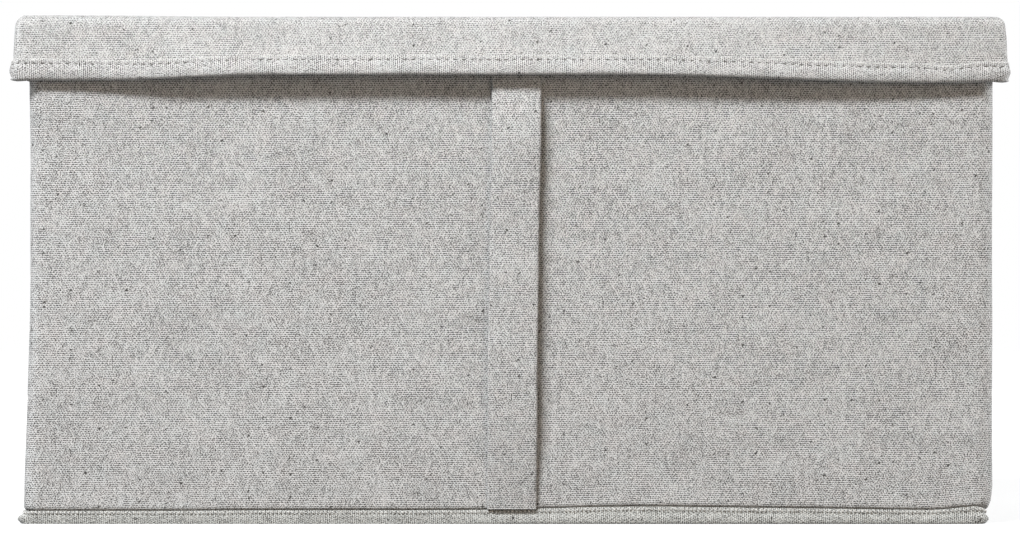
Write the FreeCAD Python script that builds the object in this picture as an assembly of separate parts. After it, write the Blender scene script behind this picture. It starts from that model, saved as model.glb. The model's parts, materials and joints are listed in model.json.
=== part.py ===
import FreeCAD, Part

import os

# Fabric storage box with an attached lid.
#
# Stiff boards stand inside a sewn canvas cover, a skirted lid is joined to the back wall by a
# strip of cloth, a soft strap runs down the front for pulling the box off a shelf, and a loose
# covered board lies on the bottom.  +Z is up, -Y is the front, millimetres throughout.

Vector = FreeCAD.Vector

# ---------------------------------------------------------------- driving dimensions
BODY_WIDTH = 492.0            # canvas to canvas, left to right
BODY_DEPTH = 352.0            # canvas to canvas, front to back
TOTAL_HEIGHT = 260.0          # floor to the top of the closed lid
BODY_CORNER = 5.0             # outer radius of the upright corners

CANVAS = 1.2                  # outer cloth
BOARD = 3.0                   # grey board in walls, lid and base
LINING = 0.6                  # inner non-woven cloth
TAPE = 1.0                    # binding tape
SEAM_GAP = 0.05               # keeps curved layers of one body apart
FREE_GAP = 0.3                # keeps pieces of different bodies apart

SEAM_HEIGHT = 7.5             # floor to the bottom seam, the height of the bound ridge
RIM_HEM = 20.0                # canvas turned over the rim to the inside
BOARD_CORNER = 3.0            # round corners of the cut boards

LID_OVERHANG = 7.0            # lid canvas beyond the body at the top
LID_SIDE_FLARE = 1.3          # extra overhang at the hem of the sides
LID_FRONT_FLARE = 0.4         # extra overhang at the hem of the front
LID_BOW = 4.4                 # the front skirt bows out this much in the middle
LID_EDGE_RADIUS = 6.0         # soft round top edge of the lid
LID_CORNER = 8.0              # plan radius of the lid's front corners
LID_DROP = 32.2               # top of the lid to the hem at the corners
HEM_RISE = 2.4                # the hem is this much higher in the middle of the front
LID_TAPE_HEIGHT = 10.4        # visible height of the tape on the hem
SKIRT_BOARD = 1.0             # stiffener inside each side of the skirt

STRAP_WIDTH = 25.0
STRAP_THICKNESS = 2 * CANVAS  # a folded and sewn double layer
STRAP_SIDE_SHIFT = 2.4        # the strap is sewn on slightly right of the middle

BASE_PLAY = 2.0               # room around the loose base board
TAB_LENGTH = 40.0
TAB_WIDTH = 20.0
TAB_SEWN = 14.0               # stretch of the tab that is stitched down

# ---------------------------------------------------------------- levels and places
LID_LAYERS = CANVAS + BOARD + LINING
RIM_TOP = TOTAL_HEIGHT - LID_LAYERS - 2 * FREE_GAP
HALF_WIDTH = BODY_WIDTH / 2
HALF_DEPTH = BODY_DEPTH / 2
WALL_BOARD_INSET = CANVAS
WALL_LINING_INSET = CANVAS + BOARD
LINING_FACE_INSET = WALL_LINING_INSET + LINING

# The origin is under the middle of the whole closed box.  The lid overhangs in front only, so
# the body's own middle lies a little behind it.
FRONT_OVERHANG = LID_OVERHANG + LID_FRONT_FLARE + LID_BOW + SEAM_GAP + TAPE
HINGE_STRIP_OUT = SEAM_GAP + TAPE
BODY_Y = (FRONT_OVERHANG - HINGE_STRIP_OUT) / 2
FRONT_FACE = BODY_Y - HALF_DEPTH
BACK_FACE = BODY_Y + HALF_DEPTH

BASE_PANEL_TOP = SEAM_HEIGHT + CANVAS
BASE_INSERT_BOTTOM = BASE_PANEL_TOP + FREE_GAP
LID_BACK_EDGE = BACK_FACE - FREE_GAP
HEM_CORNER_Z = TOTAL_HEIGHT - LID_DROP


# ---------------------------------------------------------------- building blocks
def rounded_outline(x0, x1, y0, y1, radius, z, front_bow=0.0):
    """Closed wire of a rectangle with round corners at height z, its front side bowed outwards."""
    k = radius * (1 - 0.5 ** 0.5)
    front = [Vector(x0 + radius, y0, z), Vector(x1 - radius, y0, z)]
    right = [Vector(x1, y0 + radius, z), Vector(x1, y1 - radius, z)]
    back = [Vector(x1 - radius, y1, z), Vector(x0 + radius, y1, z)]
    left = [Vector(x0, y1 - radius, z), Vector(x0, y0 + radius, z)]
    if front_bow:
        middle = Vector((x0 + x1) / 2, y0 - front_bow, z)
        front_edge = Part.Arc(front[0], middle, front[1])
    else:
        front_edge = Part.LineSegment(front[0], front[1])
    edges = [
        front_edge,
        Part.Arc(front[1], Vector(x1 - k, y0 + k, z), right[0]),
        Part.LineSegment(right[0], right[1]),
        Part.Arc(right[1], Vector(x1 - k, y1 - k, z), back[0]),
        Part.LineSegment(back[0], back[1]),
        Part.Arc(back[1], Vector(x0 + k, y1 - k, z), left[0]),
        Part.LineSegment(left[0], left[1]),
        Part.Arc(left[1], Vector(x0 + k, y0 + k, z), front[0]),
    ]
    return Part.Wire([edge.toShape() for edge in edges])


def rounded_slab(x0, x1, y0, y1, radius, z0, z1):
    """Upright prism on a rounded rectangle."""
    face = Part.Face(rounded_outline(x0, x1, y0, y1, radius, z0))
    return face.extrude(Vector(0, 0, z1 - z0))


def body_slab(inset, z0, z1):
    """Prism on the body's plan, moved in from the canvas face by inset."""
    radius = max(BODY_CORNER - inset, 0.8)
    return rounded_slab(-HALF_WIDTH + inset, HALF_WIDTH - inset,
                        FRONT_FACE + inset, BACK_FACE - inset, radius, z0, z1)


def body_sleeve(outer_inset, inner_inset, z0, z1):
    """Closed band of cloth that runs round the body's four sides."""
    return body_slab(outer_inset, z0, z1).cut(body_slab(inner_inset, z0 - 1, z1 + 1))


def board(width, height, thickness):
    """Cut board standing in the XZ plane: width along X from 0, thickness along Y from 0."""
    flat = rounded_slab(0, width, 0, height, BOARD_CORNER, 0, thickness)
    flat.rotate(Vector(0, 0, 0), Vector(1, 0, 0), 90)
    flat.translate(Vector(0, thickness, 0))
    return flat


# ---------------------------------------------------------------- body: boards and cloth
def wall_boards():
    """The four stiff boards, which stop short of the soft upright corners."""
    foot = BASE_PANEL_TOP
    height = RIM_TOP - CANVAS - foot
    soft_corner = CANVAS + BODY_CORNER
    long_side = BODY_WIDTH - 2 * soft_corner
    short_side = BODY_DEPTH - 2 * soft_corner

    front = board(long_side, height, BOARD)
    front.translate(Vector(-long_side / 2, FRONT_FACE + WALL_BOARD_INSET, foot))
    back = board(long_side, height, BOARD)
    back.translate(Vector(-long_side / 2, BACK_FACE - WALL_BOARD_INSET - BOARD, foot))

    sides = {}
    for name, x in (("left_board", -HALF_WIDTH + WALL_BOARD_INSET),
                    ("right_board", HALF_WIDTH - WALL_BOARD_INSET - BOARD)):
        side = board(short_side, height, BOARD)
        side.rotate(Vector(0, 0, 0), Vector(0, 0, 1), 90)
        side.translate(Vector(x + BOARD, BODY_Y - short_side / 2, foot))
        sides[name] = side
    return {"front_board": front, "back_board": back, **sides}


def outer_cover():
    """Canvas round all four walls, turned over the rim into a hem on the inside."""
    wall = body_sleeve(0, CANVAS, TAPE + SEAM_GAP, RIM_TOP)
    rim = body_sleeve(0, WALL_LINING_INSET + CANVAS, RIM_TOP - CANVAS, RIM_TOP)
    hem = body_sleeve(WALL_LINING_INSET, WALL_LINING_INSET + CANVAS, RIM_TOP - RIM_HEM, RIM_TOP)
    return wall.fuse([rim, hem]).removeSplitter()


def wall_lining():
    """Inner cloth from the bottom up to the rim's hem."""
    return body_sleeve(WALL_LINING_INSET, LINING_FACE_INSET, BASE_PANEL_TOP, RIM_TOP - RIM_HEM)


def bottom_cover():
    """Canvas bottom with its seam allowance turned down into the bound ridge."""
    edge = CANVAS + SEAM_GAP
    panel = body_slab(edge, SEAM_HEIGHT, BASE_PANEL_TOP)
    allowance = body_sleeve(edge, edge + CANVAS, TAPE + SEAM_GAP, BASE_PANEL_TOP)
    return panel.fuse(allowance).removeSplitter()


def base_binding():
    """Tape folded over the bottom seam, a rounded ridge on which the box stands."""
    outer = -(SEAM_GAP + TAPE)
    inner = 2 * (CANVAS + SEAM_GAP) + SEAM_GAP + TAPE
    top = SEAM_HEIGHT - SEAM_GAP
    ridge = body_sleeve(outer, inner, 0, top)
    groove = body_sleeve(outer + TAPE, inner - TAPE, TAPE, top + 1)
    ridge = ridge.cut(groove)
    fold_radius = 0.9 * TAPE
    bottom_edges = [edge for edge in ridge.Edges if edge.BoundBox.ZMax < 1e-6]
    return ridge.makeFillet(fold_radius, bottom_edges)


# ---------------------------------------------------------------- front strap
def strap_pieces():
    """The strap bows off the wall, most of all under the lid, and is sewn flat at both ends."""
    sewn_top = RIM_TOP - 4.0
    sewn = SEAM_GAP + FREE_GAP
    stand_off = [
        (SEAM_HEIGHT + SEAM_GAP, sewn),
        (36.0, 2.2),
        (75.0, 4.6),
        (120.0, 5.3),
        (165.0, 5.5),
        (204.0, 5.2),
        (228.0, 3.2),
        (243.0, sewn),
        (sewn_top, sewn),
    ]
    inner = [Vector(0, FRONT_FACE - gap, z) for z, gap in stand_off]
    outer = [point - Vector(0, STRAP_THICKNESS, 0) for point in inner]
    curves = []
    for points in (inner, outer):
        spline = Part.BSplineCurve()
        spline.interpolate(points)
        curves.append(spline.toShape())
    ends = [Part.makeLine(inner[0], outer[0]), Part.makeLine(inner[-1], outer[-1])]
    profile = Part.Face(Part.Wire(Part.__sortEdges__(curves + ends)))
    strap = profile.extrude(Vector(STRAP_WIDTH, 0, 0))
    strap.translate(Vector(STRAP_SIDE_SHIFT - STRAP_WIDTH / 2, 0, 0))

    grip_low = 32.0
    grip_high = 208.0
    pieces = {}
    for name, z0, z1 in (("strap_bottom_end", 0.0, grip_low - FREE_GAP),
                         ("strap_grip", grip_low, grip_high),
                         ("strap_top_end", grip_high + FREE_GAP, TOTAL_HEIGHT)):
        window = Part.makeBox(4 * STRAP_WIDTH, 60, z1 - z0,
                              Vector(-2 * STRAP_WIDTH, FRONT_FACE - 50, z0))
        pieces[name] = strap.common(window)
    return pieces


# ---------------------------------------------------------------- lid
def lid_outline(inset, z, side_flare=0.0, front_flare=0.0, bow=0.0):
    """The lid's plan at height z, its faces moved in by inset and out by their flare."""
    past_back = 30.0
    side = HALF_WIDTH + LID_OVERHANG + side_flare - inset
    front = FRONT_FACE - LID_OVERHANG - front_flare + inset
    return rounded_outline(-side, side, front, BACK_FACE + past_back, LID_CORNER - inset, z, bow)


def lid_form(inset):
    """Solid form of the lid, its faces moved in by inset: soft top edge, flared and bowed skirt."""
    top = TOTAL_HEIGHT - inset
    shoulder = TOTAL_HEIGHT - LID_EDGE_RADIUS - 0.5
    lowest = HEM_CORNER_Z - 2 * TAPE
    crown = Part.Face(lid_outline(inset, shoulder))
    crown = crown.extrude(Vector(0, 0, top - shoulder))
    top_edges = [edge for edge in crown.Edges if edge.BoundBox.ZMin > top - 1e-3]
    crown = crown.makeFillet(LID_EDGE_RADIUS - inset, top_edges)
    hem = lid_outline(inset, lowest, LID_SIDE_FLARE, LID_FRONT_FLARE, LID_BOW)
    skirt = Part.makeLoft([hem, lid_outline(inset, shoulder)], True, True)
    behind = Part.makeBox(2 * BODY_WIDTH, 200, 400, Vector(-BODY_WIDTH, LID_BACK_EDGE, 0))
    return skirt.fuse(crown).cut(behind)


def above_hem(raise_by):
    """Everything above a line raise_by over the skirt's hem, which rises in the middle."""
    reach = HALF_WIDTH + LID_OVERHANG + LID_SIDE_FLARE
    far = reach + 40.0
    low = HEM_CORNER_Z + raise_by
    start = Vector(-reach, -BODY_DEPTH, low)
    middle = Vector(0, -BODY_DEPTH, low + HEM_RISE)
    end = Vector(reach, -BODY_DEPTH, low)
    top = TOTAL_HEIGHT + 50.0
    edges = [
        Part.makeLine(Vector(-far, -BODY_DEPTH, low), start),
        Part.Arc(start, middle, end).toShape(),
        Part.makeLine(end, Vector(far, -BODY_DEPTH, low)),
        Part.makeLine(Vector(far, -BODY_DEPTH, low), Vector(far, -BODY_DEPTH, top)),
        Part.makeLine(Vector(far, -BODY_DEPTH, top), Vector(-far, -BODY_DEPTH, top)),
        Part.makeLine(Vector(-far, -BODY_DEPTH, top), Vector(-far, -BODY_DEPTH, low)),
    ]
    return Part.Face(Part.Wire(edges)).extrude(Vector(0, 2 * BODY_DEPTH, 0))


def lid_layer(outer_inset, inner_inset):
    """One layer of the lid as a thin open cap, down to the hem."""
    return lid_form(outer_inset).cut(lid_form(inner_inset)).common(above_hem(0))


def skirt_board_inset():
    return CANVAS + SEAM_GAP


def skirt_lining_inset():
    return skirt_board_inset() + SKIRT_BOARD + SEAM_GAP


def lid_cover():
    """Canvas over the top, round the soft edge and down the skirt."""
    return lid_layer(0, CANVAS)


def lid_board():
    """Board in the top of the lid, inside the soft edge."""
    top = TOTAL_HEIGHT - CANVAS
    soft_edge = LID_EDGE_RADIUS - LID_OVERHANG
    return rounded_slab(-HALF_WIDTH + soft_edge, HALF_WIDTH - soft_edge,
                        FRONT_FACE + soft_edge, LID_BACK_EDGE, BOARD_CORNER,
                        top - BOARD, top)


def lid_lining():
    """Lining under the lid board and down the inside of the skirt."""
    inset = skirt_lining_inset()
    panel_top = TOTAL_HEIGHT - CANVAS - BOARD
    below_board = Part.makeBox(2 * BODY_WIDTH, 2 * BODY_DEPTH, 100,
                               Vector(-BODY_WIDTH, -BODY_DEPTH, panel_top - 100))
    below_panel = below_board.copy()
    below_panel.translate(Vector(0, 0, -LINING))
    outside = lid_form(inset).common(below_board)
    inside = lid_form(inset + LINING).common(below_panel)
    return outside.cut(inside).common(above_hem(0))


def skirt_boards():
    """Thin stiffeners between canvas and lining, one in each side of the skirt."""
    inset = skirt_board_inset()
    wall = lid_form(inset).cut(lid_form(inset + SKIRT_BOARD))
    wall = wall.common(above_hem(TAPE))
    top = TOTAL_HEIGHT - LID_LAYERS - 2.0
    height = LID_DROP
    low = top - height
    side_x = HALF_WIDTH + LID_OVERHANG - LID_CORNER
    front_y = FRONT_FACE - LID_OVERHANG + LID_CORNER
    windows = {
        "skirt_board_front": Part.makeBox(2 * side_x, 40, height,
                                          Vector(-side_x, front_y - 40, low)),
        "skirt_board_left": Part.makeBox(40, LID_BACK_EDGE - front_y, height,
                                         Vector(-side_x - 40, front_y, low)),
        "skirt_board_right": Part.makeBox(40, LID_BACK_EDGE - front_y, height,
                                          Vector(side_x, front_y, low)),
    }
    return {name: wall.common(window) for name, window in windows.items()}


def lid_binding():
    """Tape folded over the hem of the skirt, on the front and both sides."""
    outer = -(SEAM_GAP + TAPE)
    inner = skirt_lining_inset() + LINING + SEAM_GAP + TAPE
    band = lid_form(outer).cut(lid_form(inner))
    band = band.common(above_hem(-TAPE)).cut(above_hem(LID_TAPE_HEIGHT - TAPE))
    groove = lid_form(outer + TAPE).cut(lid_form(inner - TAPE)).common(above_hem(-SEAM_GAP))
    return band.cut(groove)


def hinge_strip():
    """Cloth sewn to the back wall; its top edge is the crease on which the lid turns."""
    sewn_down = 38.0
    side_margin = 2.0
    half = HALF_WIDTH - BODY_CORNER - side_margin
    return Part.makeBox(2 * half, TAPE, TOTAL_HEIGHT - (RIM_TOP - sewn_down),
                        Vector(-half, BACK_FACE + SEAM_GAP, RIM_TOP - sewn_down))


# ---------------------------------------------------------------- loose base
def base_insert():
    """Covered board that lies loose on the bottom, with the sewn end of its lifting tab."""
    inset = LINING_FACE_INSET + BASE_PLAY
    z0 = BASE_INSERT_BOTTOM
    turned_under = 25.0
    core = body_slab(inset + LINING, z0 + LINING, z0 + LINING + BOARD)
    wrap = body_slab(inset, z0, z0 + BOARD + 2 * LINING)
    window = body_slab(inset + turned_under, z0 - 1, z0 + LINING)
    wrap = wrap.cut(core).cut(window)

    tab_x = HALF_WIDTH - inset - 40.0
    tab_z = z0 + BOARD + 2 * LINING
    sewn = Part.makeBox(TAB_SEWN, TAB_WIDTH, CANVAS,
                        Vector(tab_x, BODY_Y - TAB_WIDTH / 2, tab_z))
    free = Part.makeBox(TAB_LENGTH, TAB_WIDTH, CANVAS,
                        Vector(tab_x - FREE_GAP - TAB_LENGTH, BODY_Y - TAB_WIDTH / 2,
                               tab_z + FREE_GAP))
    return {
        "base_board": core,
        "base_board_cover": wrap,
        "tab_sewn_end": sewn,
        "base_tab": free,
    }


# ---------------------------------------------------------------- write the pieces
def all_pieces():
    pieces = {}
    pieces.update(wall_boards())
    pieces["outer_cover"] = outer_cover()
    pieces["wall_lining"] = wall_lining()
    pieces["bottom_cover"] = bottom_cover()
    pieces["base_binding"] = base_binding()
    pieces.update(strap_pieces())
    pieces["hinge_strip"] = hinge_strip()
    pieces["lid_board"] = lid_board()
    pieces["lid_cover"] = lid_cover()
    pieces["lid_lining"] = lid_lining()
    pieces["lid_binding"] = lid_binding()
    pieces.update(skirt_boards())
    pieces.update(base_insert())
    return pieces


os.makedirs("parts", exist_ok=True)
for node, shape in all_pieces().items():
    box = shape.BoundBox
    print(f"{node:18s} valid {shape.isValid()} solids {len(shape.Solids)} volume {shape.Volume:10.0f} "
          f"x {box.XMin:7.1f} {box.XMax:6.1f} y {box.YMin:7.1f} {box.YMax:6.1f} "
          f"z {box.ZMin:6.1f} {box.ZMax:6.1f}")
    shape.exportStep(f"parts/{node}.step")
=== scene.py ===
import json
import logging
import math
from contextlib import contextmanager
from dataclasses import dataclass, field, replace
from enum import Enum
from typing import Iterator, Optional, Sequence, Union

import bmesh
import bpy
import numpy as np
from bpy.types import ID, Material, Mesh, Node, NodeSocket, NodeTree, Object
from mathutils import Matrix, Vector


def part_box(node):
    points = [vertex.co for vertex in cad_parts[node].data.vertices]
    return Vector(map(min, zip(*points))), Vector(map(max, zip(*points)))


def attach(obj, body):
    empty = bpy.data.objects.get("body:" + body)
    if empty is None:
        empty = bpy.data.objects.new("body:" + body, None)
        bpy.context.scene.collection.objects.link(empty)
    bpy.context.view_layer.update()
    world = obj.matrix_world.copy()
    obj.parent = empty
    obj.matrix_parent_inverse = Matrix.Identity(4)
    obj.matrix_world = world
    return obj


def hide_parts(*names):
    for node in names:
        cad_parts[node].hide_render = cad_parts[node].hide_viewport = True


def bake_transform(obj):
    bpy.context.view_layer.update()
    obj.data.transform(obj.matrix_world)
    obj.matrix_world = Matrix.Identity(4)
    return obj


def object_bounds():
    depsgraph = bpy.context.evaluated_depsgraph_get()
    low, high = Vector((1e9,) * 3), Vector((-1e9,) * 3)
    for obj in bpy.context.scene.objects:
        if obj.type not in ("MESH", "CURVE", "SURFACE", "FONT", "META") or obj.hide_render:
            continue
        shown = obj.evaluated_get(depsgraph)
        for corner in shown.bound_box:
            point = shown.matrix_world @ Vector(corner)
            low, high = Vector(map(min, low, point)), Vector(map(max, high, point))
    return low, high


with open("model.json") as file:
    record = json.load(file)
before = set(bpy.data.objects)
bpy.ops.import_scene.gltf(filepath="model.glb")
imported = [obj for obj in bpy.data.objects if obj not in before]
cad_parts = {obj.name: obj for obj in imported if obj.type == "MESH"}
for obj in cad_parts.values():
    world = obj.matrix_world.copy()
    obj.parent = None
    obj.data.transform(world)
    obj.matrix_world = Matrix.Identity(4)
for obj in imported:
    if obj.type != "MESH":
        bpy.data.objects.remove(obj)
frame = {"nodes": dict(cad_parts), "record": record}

# Fabric storage box with an attached lid: the looks of the cloth, tape, thread and board
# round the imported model.  Metres, +Z up, -Y the front.

log = logging.getLogger("storage_box")

MM = 0.001
CLOTH_MAP = "cloth_metres"        # UV map of every cloth piece: U along the weft, V across it
CAD_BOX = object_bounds()

Number = Union[float, np.ndarray]


class Body(Enum):
    """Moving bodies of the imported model."""

    BOX = "box"
    LID = "lid"
    STRAP = "strap"
    INSERT = "base_insert"
    TAB = "tab"


class Slot(Enum):
    """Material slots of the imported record."""

    CANVAS = "canvas"
    TAPE = "binding_tape"
    LINING = "lining"
    BOARD = "greyboard"


class Grain(Enum):
    """Which way the weft of a woven piece runs on its cloth map."""

    ALONG = 0
    ACROSS = 1


# ------------------------------------------------------------------ small tools
def ease(value: Number, start: float, end: float) -> Number:
    """Smooth step at a value: 0 up to start and 1 from end on, which may be below start."""
    share = np.clip((value - start) / (end - start), 0.0, 1.0)
    return share * share * (3.0 - 2.0 * share)


@dataclass(frozen=True)
class Change:
    """An amount that comes in smoothly between two values of what it depends on."""

    amount: float
    start: float
    end: float

    def at(self, value: Number) -> Number:
        """The amount reached at a value."""
        return self.amount * ease(value, self.start, self.end)


@dataclass(frozen=True)
class Swell:
    """An amount that is greatest at one value and dies out on both sides of it."""

    amount: float
    middle: float
    spread: float

    def at(self, value: Number) -> Number:
        """The amount left at a value."""
        return self.amount * np.exp(-((value - self.middle) / self.spread) ** 2)


def linear_colour(hex_code: str) -> tuple[float, float, float, float]:
    """Turns an sRGB hex colour into the linear colour that shaders take.

    Args:
        hex_code: Six hex digits, with or without a leading #.

    Returns:
        Linear red, green, blue and an alpha of 1.
    """
    digits = hex_code.lstrip("#")
    channels = [int(digits[k:k + 2], 16) / 255.0 for k in (0, 2, 4)]
    linear = [c / 12.92 if c <= 0.04045 else ((c + 0.055) / 1.055) ** 2.4 for c in channels]
    return (linear[0], linear[1], linear[2], 1.0)


def add_node(tree: NodeTree, kind: str, inputs: Optional[dict] = None,
             **settings: object) -> Node:
    """Adds a node, sets its options and fills or links its inputs.

    Args:
        tree: Tree that gets the node.
        kind: Blender's name of the node type.
        inputs: For each input, by name or number, its value, a socket, or a node whose first
            output it takes.
        settings: Properties of the node.

    Returns:
        The new node.
    """
    node = tree.nodes.new(kind)
    for name, value in settings.items():
        setattr(node, name, value)
    for key, value in (inputs or {}).items():
        source = value.outputs[0] if isinstance(value, Node) else value
        if isinstance(source, NodeSocket):
            tree.links.new(source, node.inputs[key])
        else:
            node.inputs[key].default_value = source
    return node


@dataclass(frozen=True)
class Ripple:
    """Gentle unevenness of cloth: a few long waves with fixed phases."""

    height: float
    wavelength: float
    seed: int
    waves: int = 7

    def at(self, a: np.ndarray, b: Number) -> np.ndarray:
        """Height of the waves at places (a, b) on the cloth, in metres.

        Args:
            a: Distance along the cloth.
            b: Distance across it.

        Returns:
            Height at each place, about plus or minus the ripple's height.
        """
        random = np.random.default_rng(self.seed)
        total = np.zeros(np.broadcast(a, b).shape)
        for _ in range(self.waves):
            heading, phase = random.uniform(0.0, 2.0 * math.pi, 2)
            pace = 2.0 * math.pi / (self.wavelength * random.uniform(0.6, 1.8))
            total += np.sin(pace * (a * math.cos(heading) + b * math.sin(heading)) + phase)
        return self.height * total / math.sqrt(self.waves)


# ------------------------------------------------------------------ cloth geometry
@dataclass(frozen=True)
class Rail:
    """A line in plan with the way out from it and the length run along it, 0 at mid front."""

    points: np.ndarray
    outward: np.ndarray
    run: np.ndarray
    closed: bool

    def bent_out(self, distance: Number) -> np.ndarray:
        """The rail's points moved outwards by a distance each."""
        return self.points + self.outward * np.reshape(distance, (-1, 1))

    def facing_front(self) -> np.ndarray:
        """How squarely each station faces the front, from 0 to 1."""
        return np.clip(-self.outward[:, 1], 0.0, 1.0)

    def facing_left(self) -> np.ndarray:
        """How squarely each station faces the left, from 0 to 1."""
        return np.clip(-self.outward[:, 0], 0.0, 1.0)

    def full_run(self) -> np.ndarray:
        """The run of every station and, where the rail closes, of the first one met again.

        Returns:
            Distances along the rail.
        """
        if not self.closed:
            return self.run
        return np.append(self.run, self.run[-1] + np.linalg.norm(self.points[0] - self.points[-1]))

    def surface(self, reach: np.ndarray, z: np.ndarray) -> np.ndarray:
        """Places, stations by rows, so far out from the rail and at these heights."""
        flat = self.points[:, None, :] + self.outward[:, None, :] * reach[:, :, None]
        return np.concatenate([flat, np.broadcast_to(z, reach.shape)[:, :, None]], axis=2)


def rounded_rail(low: Sequence[float], high: Sequence[float], radius: float, step: float,
                 closed: bool, corner_steps: int = 8) -> Rail:
    """Outline of a rectangle with round corners, from back left by the front to back right.

    Args:
        low: Least x and y.
        high: Greatest x and y.
        radius: Corner radius.
        step: Distance between stations on the straight sides.
        closed: Whether the back side is part of the rail.
        corner_steps: Stations on each corner.

    Returns:
        The rail, anticlockwise seen from above.
    """
    x0, y0, x1, y1 = low[0], low[1], high[0], high[1]
    back = y1 - radius if closed else y1
    sides = [
        ((x0, back), (x0, y0 + radius), (-1.0, 0.0)),
        ((x0 + radius, y0), (x1 - radius, y0), (0.0, -1.0)),
        ((x1, y0 + radius), (x1, back), (1.0, 0.0)),
        ((x1 - radius, y1), (x0 + radius, y1), (0.0, 1.0)),
    ]
    centres = [(x0 + radius, y0 + radius), (x1 - radius, y0 + radius),
               (x1 - radius, y1 - radius), (x0 + radius, y1 - radius)]
    places, outward = [], []
    for k in range(4 if closed else 3):
        start, end, normal = (np.array(part) for part in sides[k])
        count = max(2, round(float(np.linalg.norm(end - start)) / step))
        for share in np.linspace(0.0, 1.0, count + 1):
            places.append(start + (end - start) * share)
            outward.append(normal)
        if closed or k < 2:
            turn = math.pi + k * math.pi / 2
            for share in np.arange(1, corner_steps) / corner_steps:
                angle = turn + share * math.pi / 2
                normal = np.array([math.cos(angle), math.sin(angle)])
                places.append(np.array(centres[k]) + radius * normal)
                outward.append(normal)
    points = np.array(places)
    run = np.concatenate([[0.0], np.cumsum(np.linalg.norm(np.diff(points, axis=0), axis=1))])
    front_start = int(np.argmin(np.linalg.norm(points - np.array([x0 + radius, y0]), axis=1)))
    return Rail(points, np.array(outward), run - run[front_start] + points[front_start, 0], closed)


def grid_of(first: np.ndarray, second: np.ndarray) -> np.ndarray:
    """Grid of all pairs of two rows of numbers."""
    return np.stack(np.meshgrid(first, second, indexing="ij"), axis=-1)


@dataclass
class ClothPatch:
    """Quads with a cloth coordinate at every face corner."""

    points: np.ndarray
    faces: np.ndarray
    cloth: np.ndarray


def grid_patch(points: np.ndarray, cloth: np.ndarray, closed: bool = False,
               flip: bool = False) -> ClothPatch:
    """Makes quads over a grid of points.

    Args:
        points: Grid of places, stations by rows.
        cloth: Cloth coordinates of the grid, with one station more where it is closed.
        closed: Whether the last station joins the first.
        flip: Whether the faces turn to the other side.

    Returns:
        The patch.
    """
    stations, rows = points.shape[:2]
    spans = stations if closed else stations - 1
    i, j = np.meshgrid(np.arange(spans), np.arange(rows - 1), indexing="ij")
    after = (i + 1) % stations
    corners = [(i, i, j), (i + 1, after, j), (i + 1, after, j + 1), (i, i, j + 1)]
    if flip:
        corners.reverse()
    faces = np.stack([station * rows + row for _, station, row in corners], axis=-1)
    uv = np.stack([cloth[column, row] for column, _, row in corners], axis=2)
    return ClothPatch(points.reshape(-1, 3), faces.reshape(-1, 4), uv.reshape(-1, 2))


@contextmanager
def opened(mesh: Mesh) -> Iterator[bmesh.types.BMesh]:
    """Opens a mesh for changes and writes them back at the end.

    Args:
        mesh: Mesh to change.

    Returns:
        A context whose value is the mesh, opened.
    """
    work = bmesh.new()
    work.from_mesh(mesh)
    yield work
    work.to_mesh(mesh)
    work.free()


def added(name: str, data: ID) -> Object:
    """Puts a new object into the scene, at the origin.

    Args:
        name: Name of the object.
        data: Mesh, light or camera that it holds.

    Returns:
        The object.
    """
    made = bpy.data.objects.new(name, data)
    bpy.context.scene.collection.objects.link(made)
    return made


def cloth_object(name: str, patches: Sequence[ClothPatch],
                 weld: float = 0.01 * MM) -> Object:
    """Joins patches into one smooth mesh object at the origin.

    Args:
        name: Name of the piece.
        patches: What it is made of.
        weld: Distance within which points become one.

    Returns:
        The object, linked to the scene.
    """
    offsets = np.cumsum([0] + [len(p.points) for p in patches])
    points = np.concatenate([p.points for p in patches])
    faces = np.concatenate([p.faces + start for p, start in zip(patches, offsets)])
    mesh = bpy.data.meshes.new(name)
    mesh.from_pydata(points.tolist(), [], faces.tolist())
    layer = mesh.uv_layers.new(name=CLOTH_MAP)
    cloth = np.concatenate([patch.cloth for patch in patches])
    layer.data.foreach_set("uv", cloth.astype(np.float32).ravel())
    with opened(mesh) as work:
        bmesh.ops.remove_doubles(work, verts=work.verts, dist=weld)
        bmesh.ops.dissolve_degenerate(work, edges=work.edges, dist=weld)
    mesh.polygons.foreach_set("use_smooth", [True] * len(mesh.polygons))
    return added(name, mesh)


def baked(piece: Object) -> Object:
    """Turns the piece's modifiers into plain mesh and removes them.

    Args:
        piece: Object with modifiers.

    Returns:
        The same object.
    """
    graph = bpy.context.evaluated_depsgraph_get()
    mesh = bpy.data.meshes.new_from_object(piece.evaluated_get(graph))
    mesh.name = piece.name
    piece.modifiers.clear()
    piece.data = mesh
    return piece


def thickened(piece: Object, thickness: float, even: bool = True) -> Object:
    """Gives a single layer its thickness behind its faces, and a rim.

    Args:
        piece: Object with the visible face of the cloth.
        thickness: Thickness of the cloth.
        even: Whether it keeps its thickness round a bend; a tight fold is better without.

    Returns:
        The same object.
    """
    wall = piece.modifiers.new("cloth_thickness", "SOLIDIFY")
    wall.thickness = thickness
    wall.offset = -1.0
    wall.use_even_offset = even
    wall.thickness_clamp = 1.0
    return baked(piece)


def distance_run(out: np.ndarray, up: np.ndarray) -> np.ndarray:
    """Length along a profile given by how far out and up each of its points is."""
    return np.concatenate([[0.0], np.cumsum(np.hypot(np.diff(out), np.diff(up)))])


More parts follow.
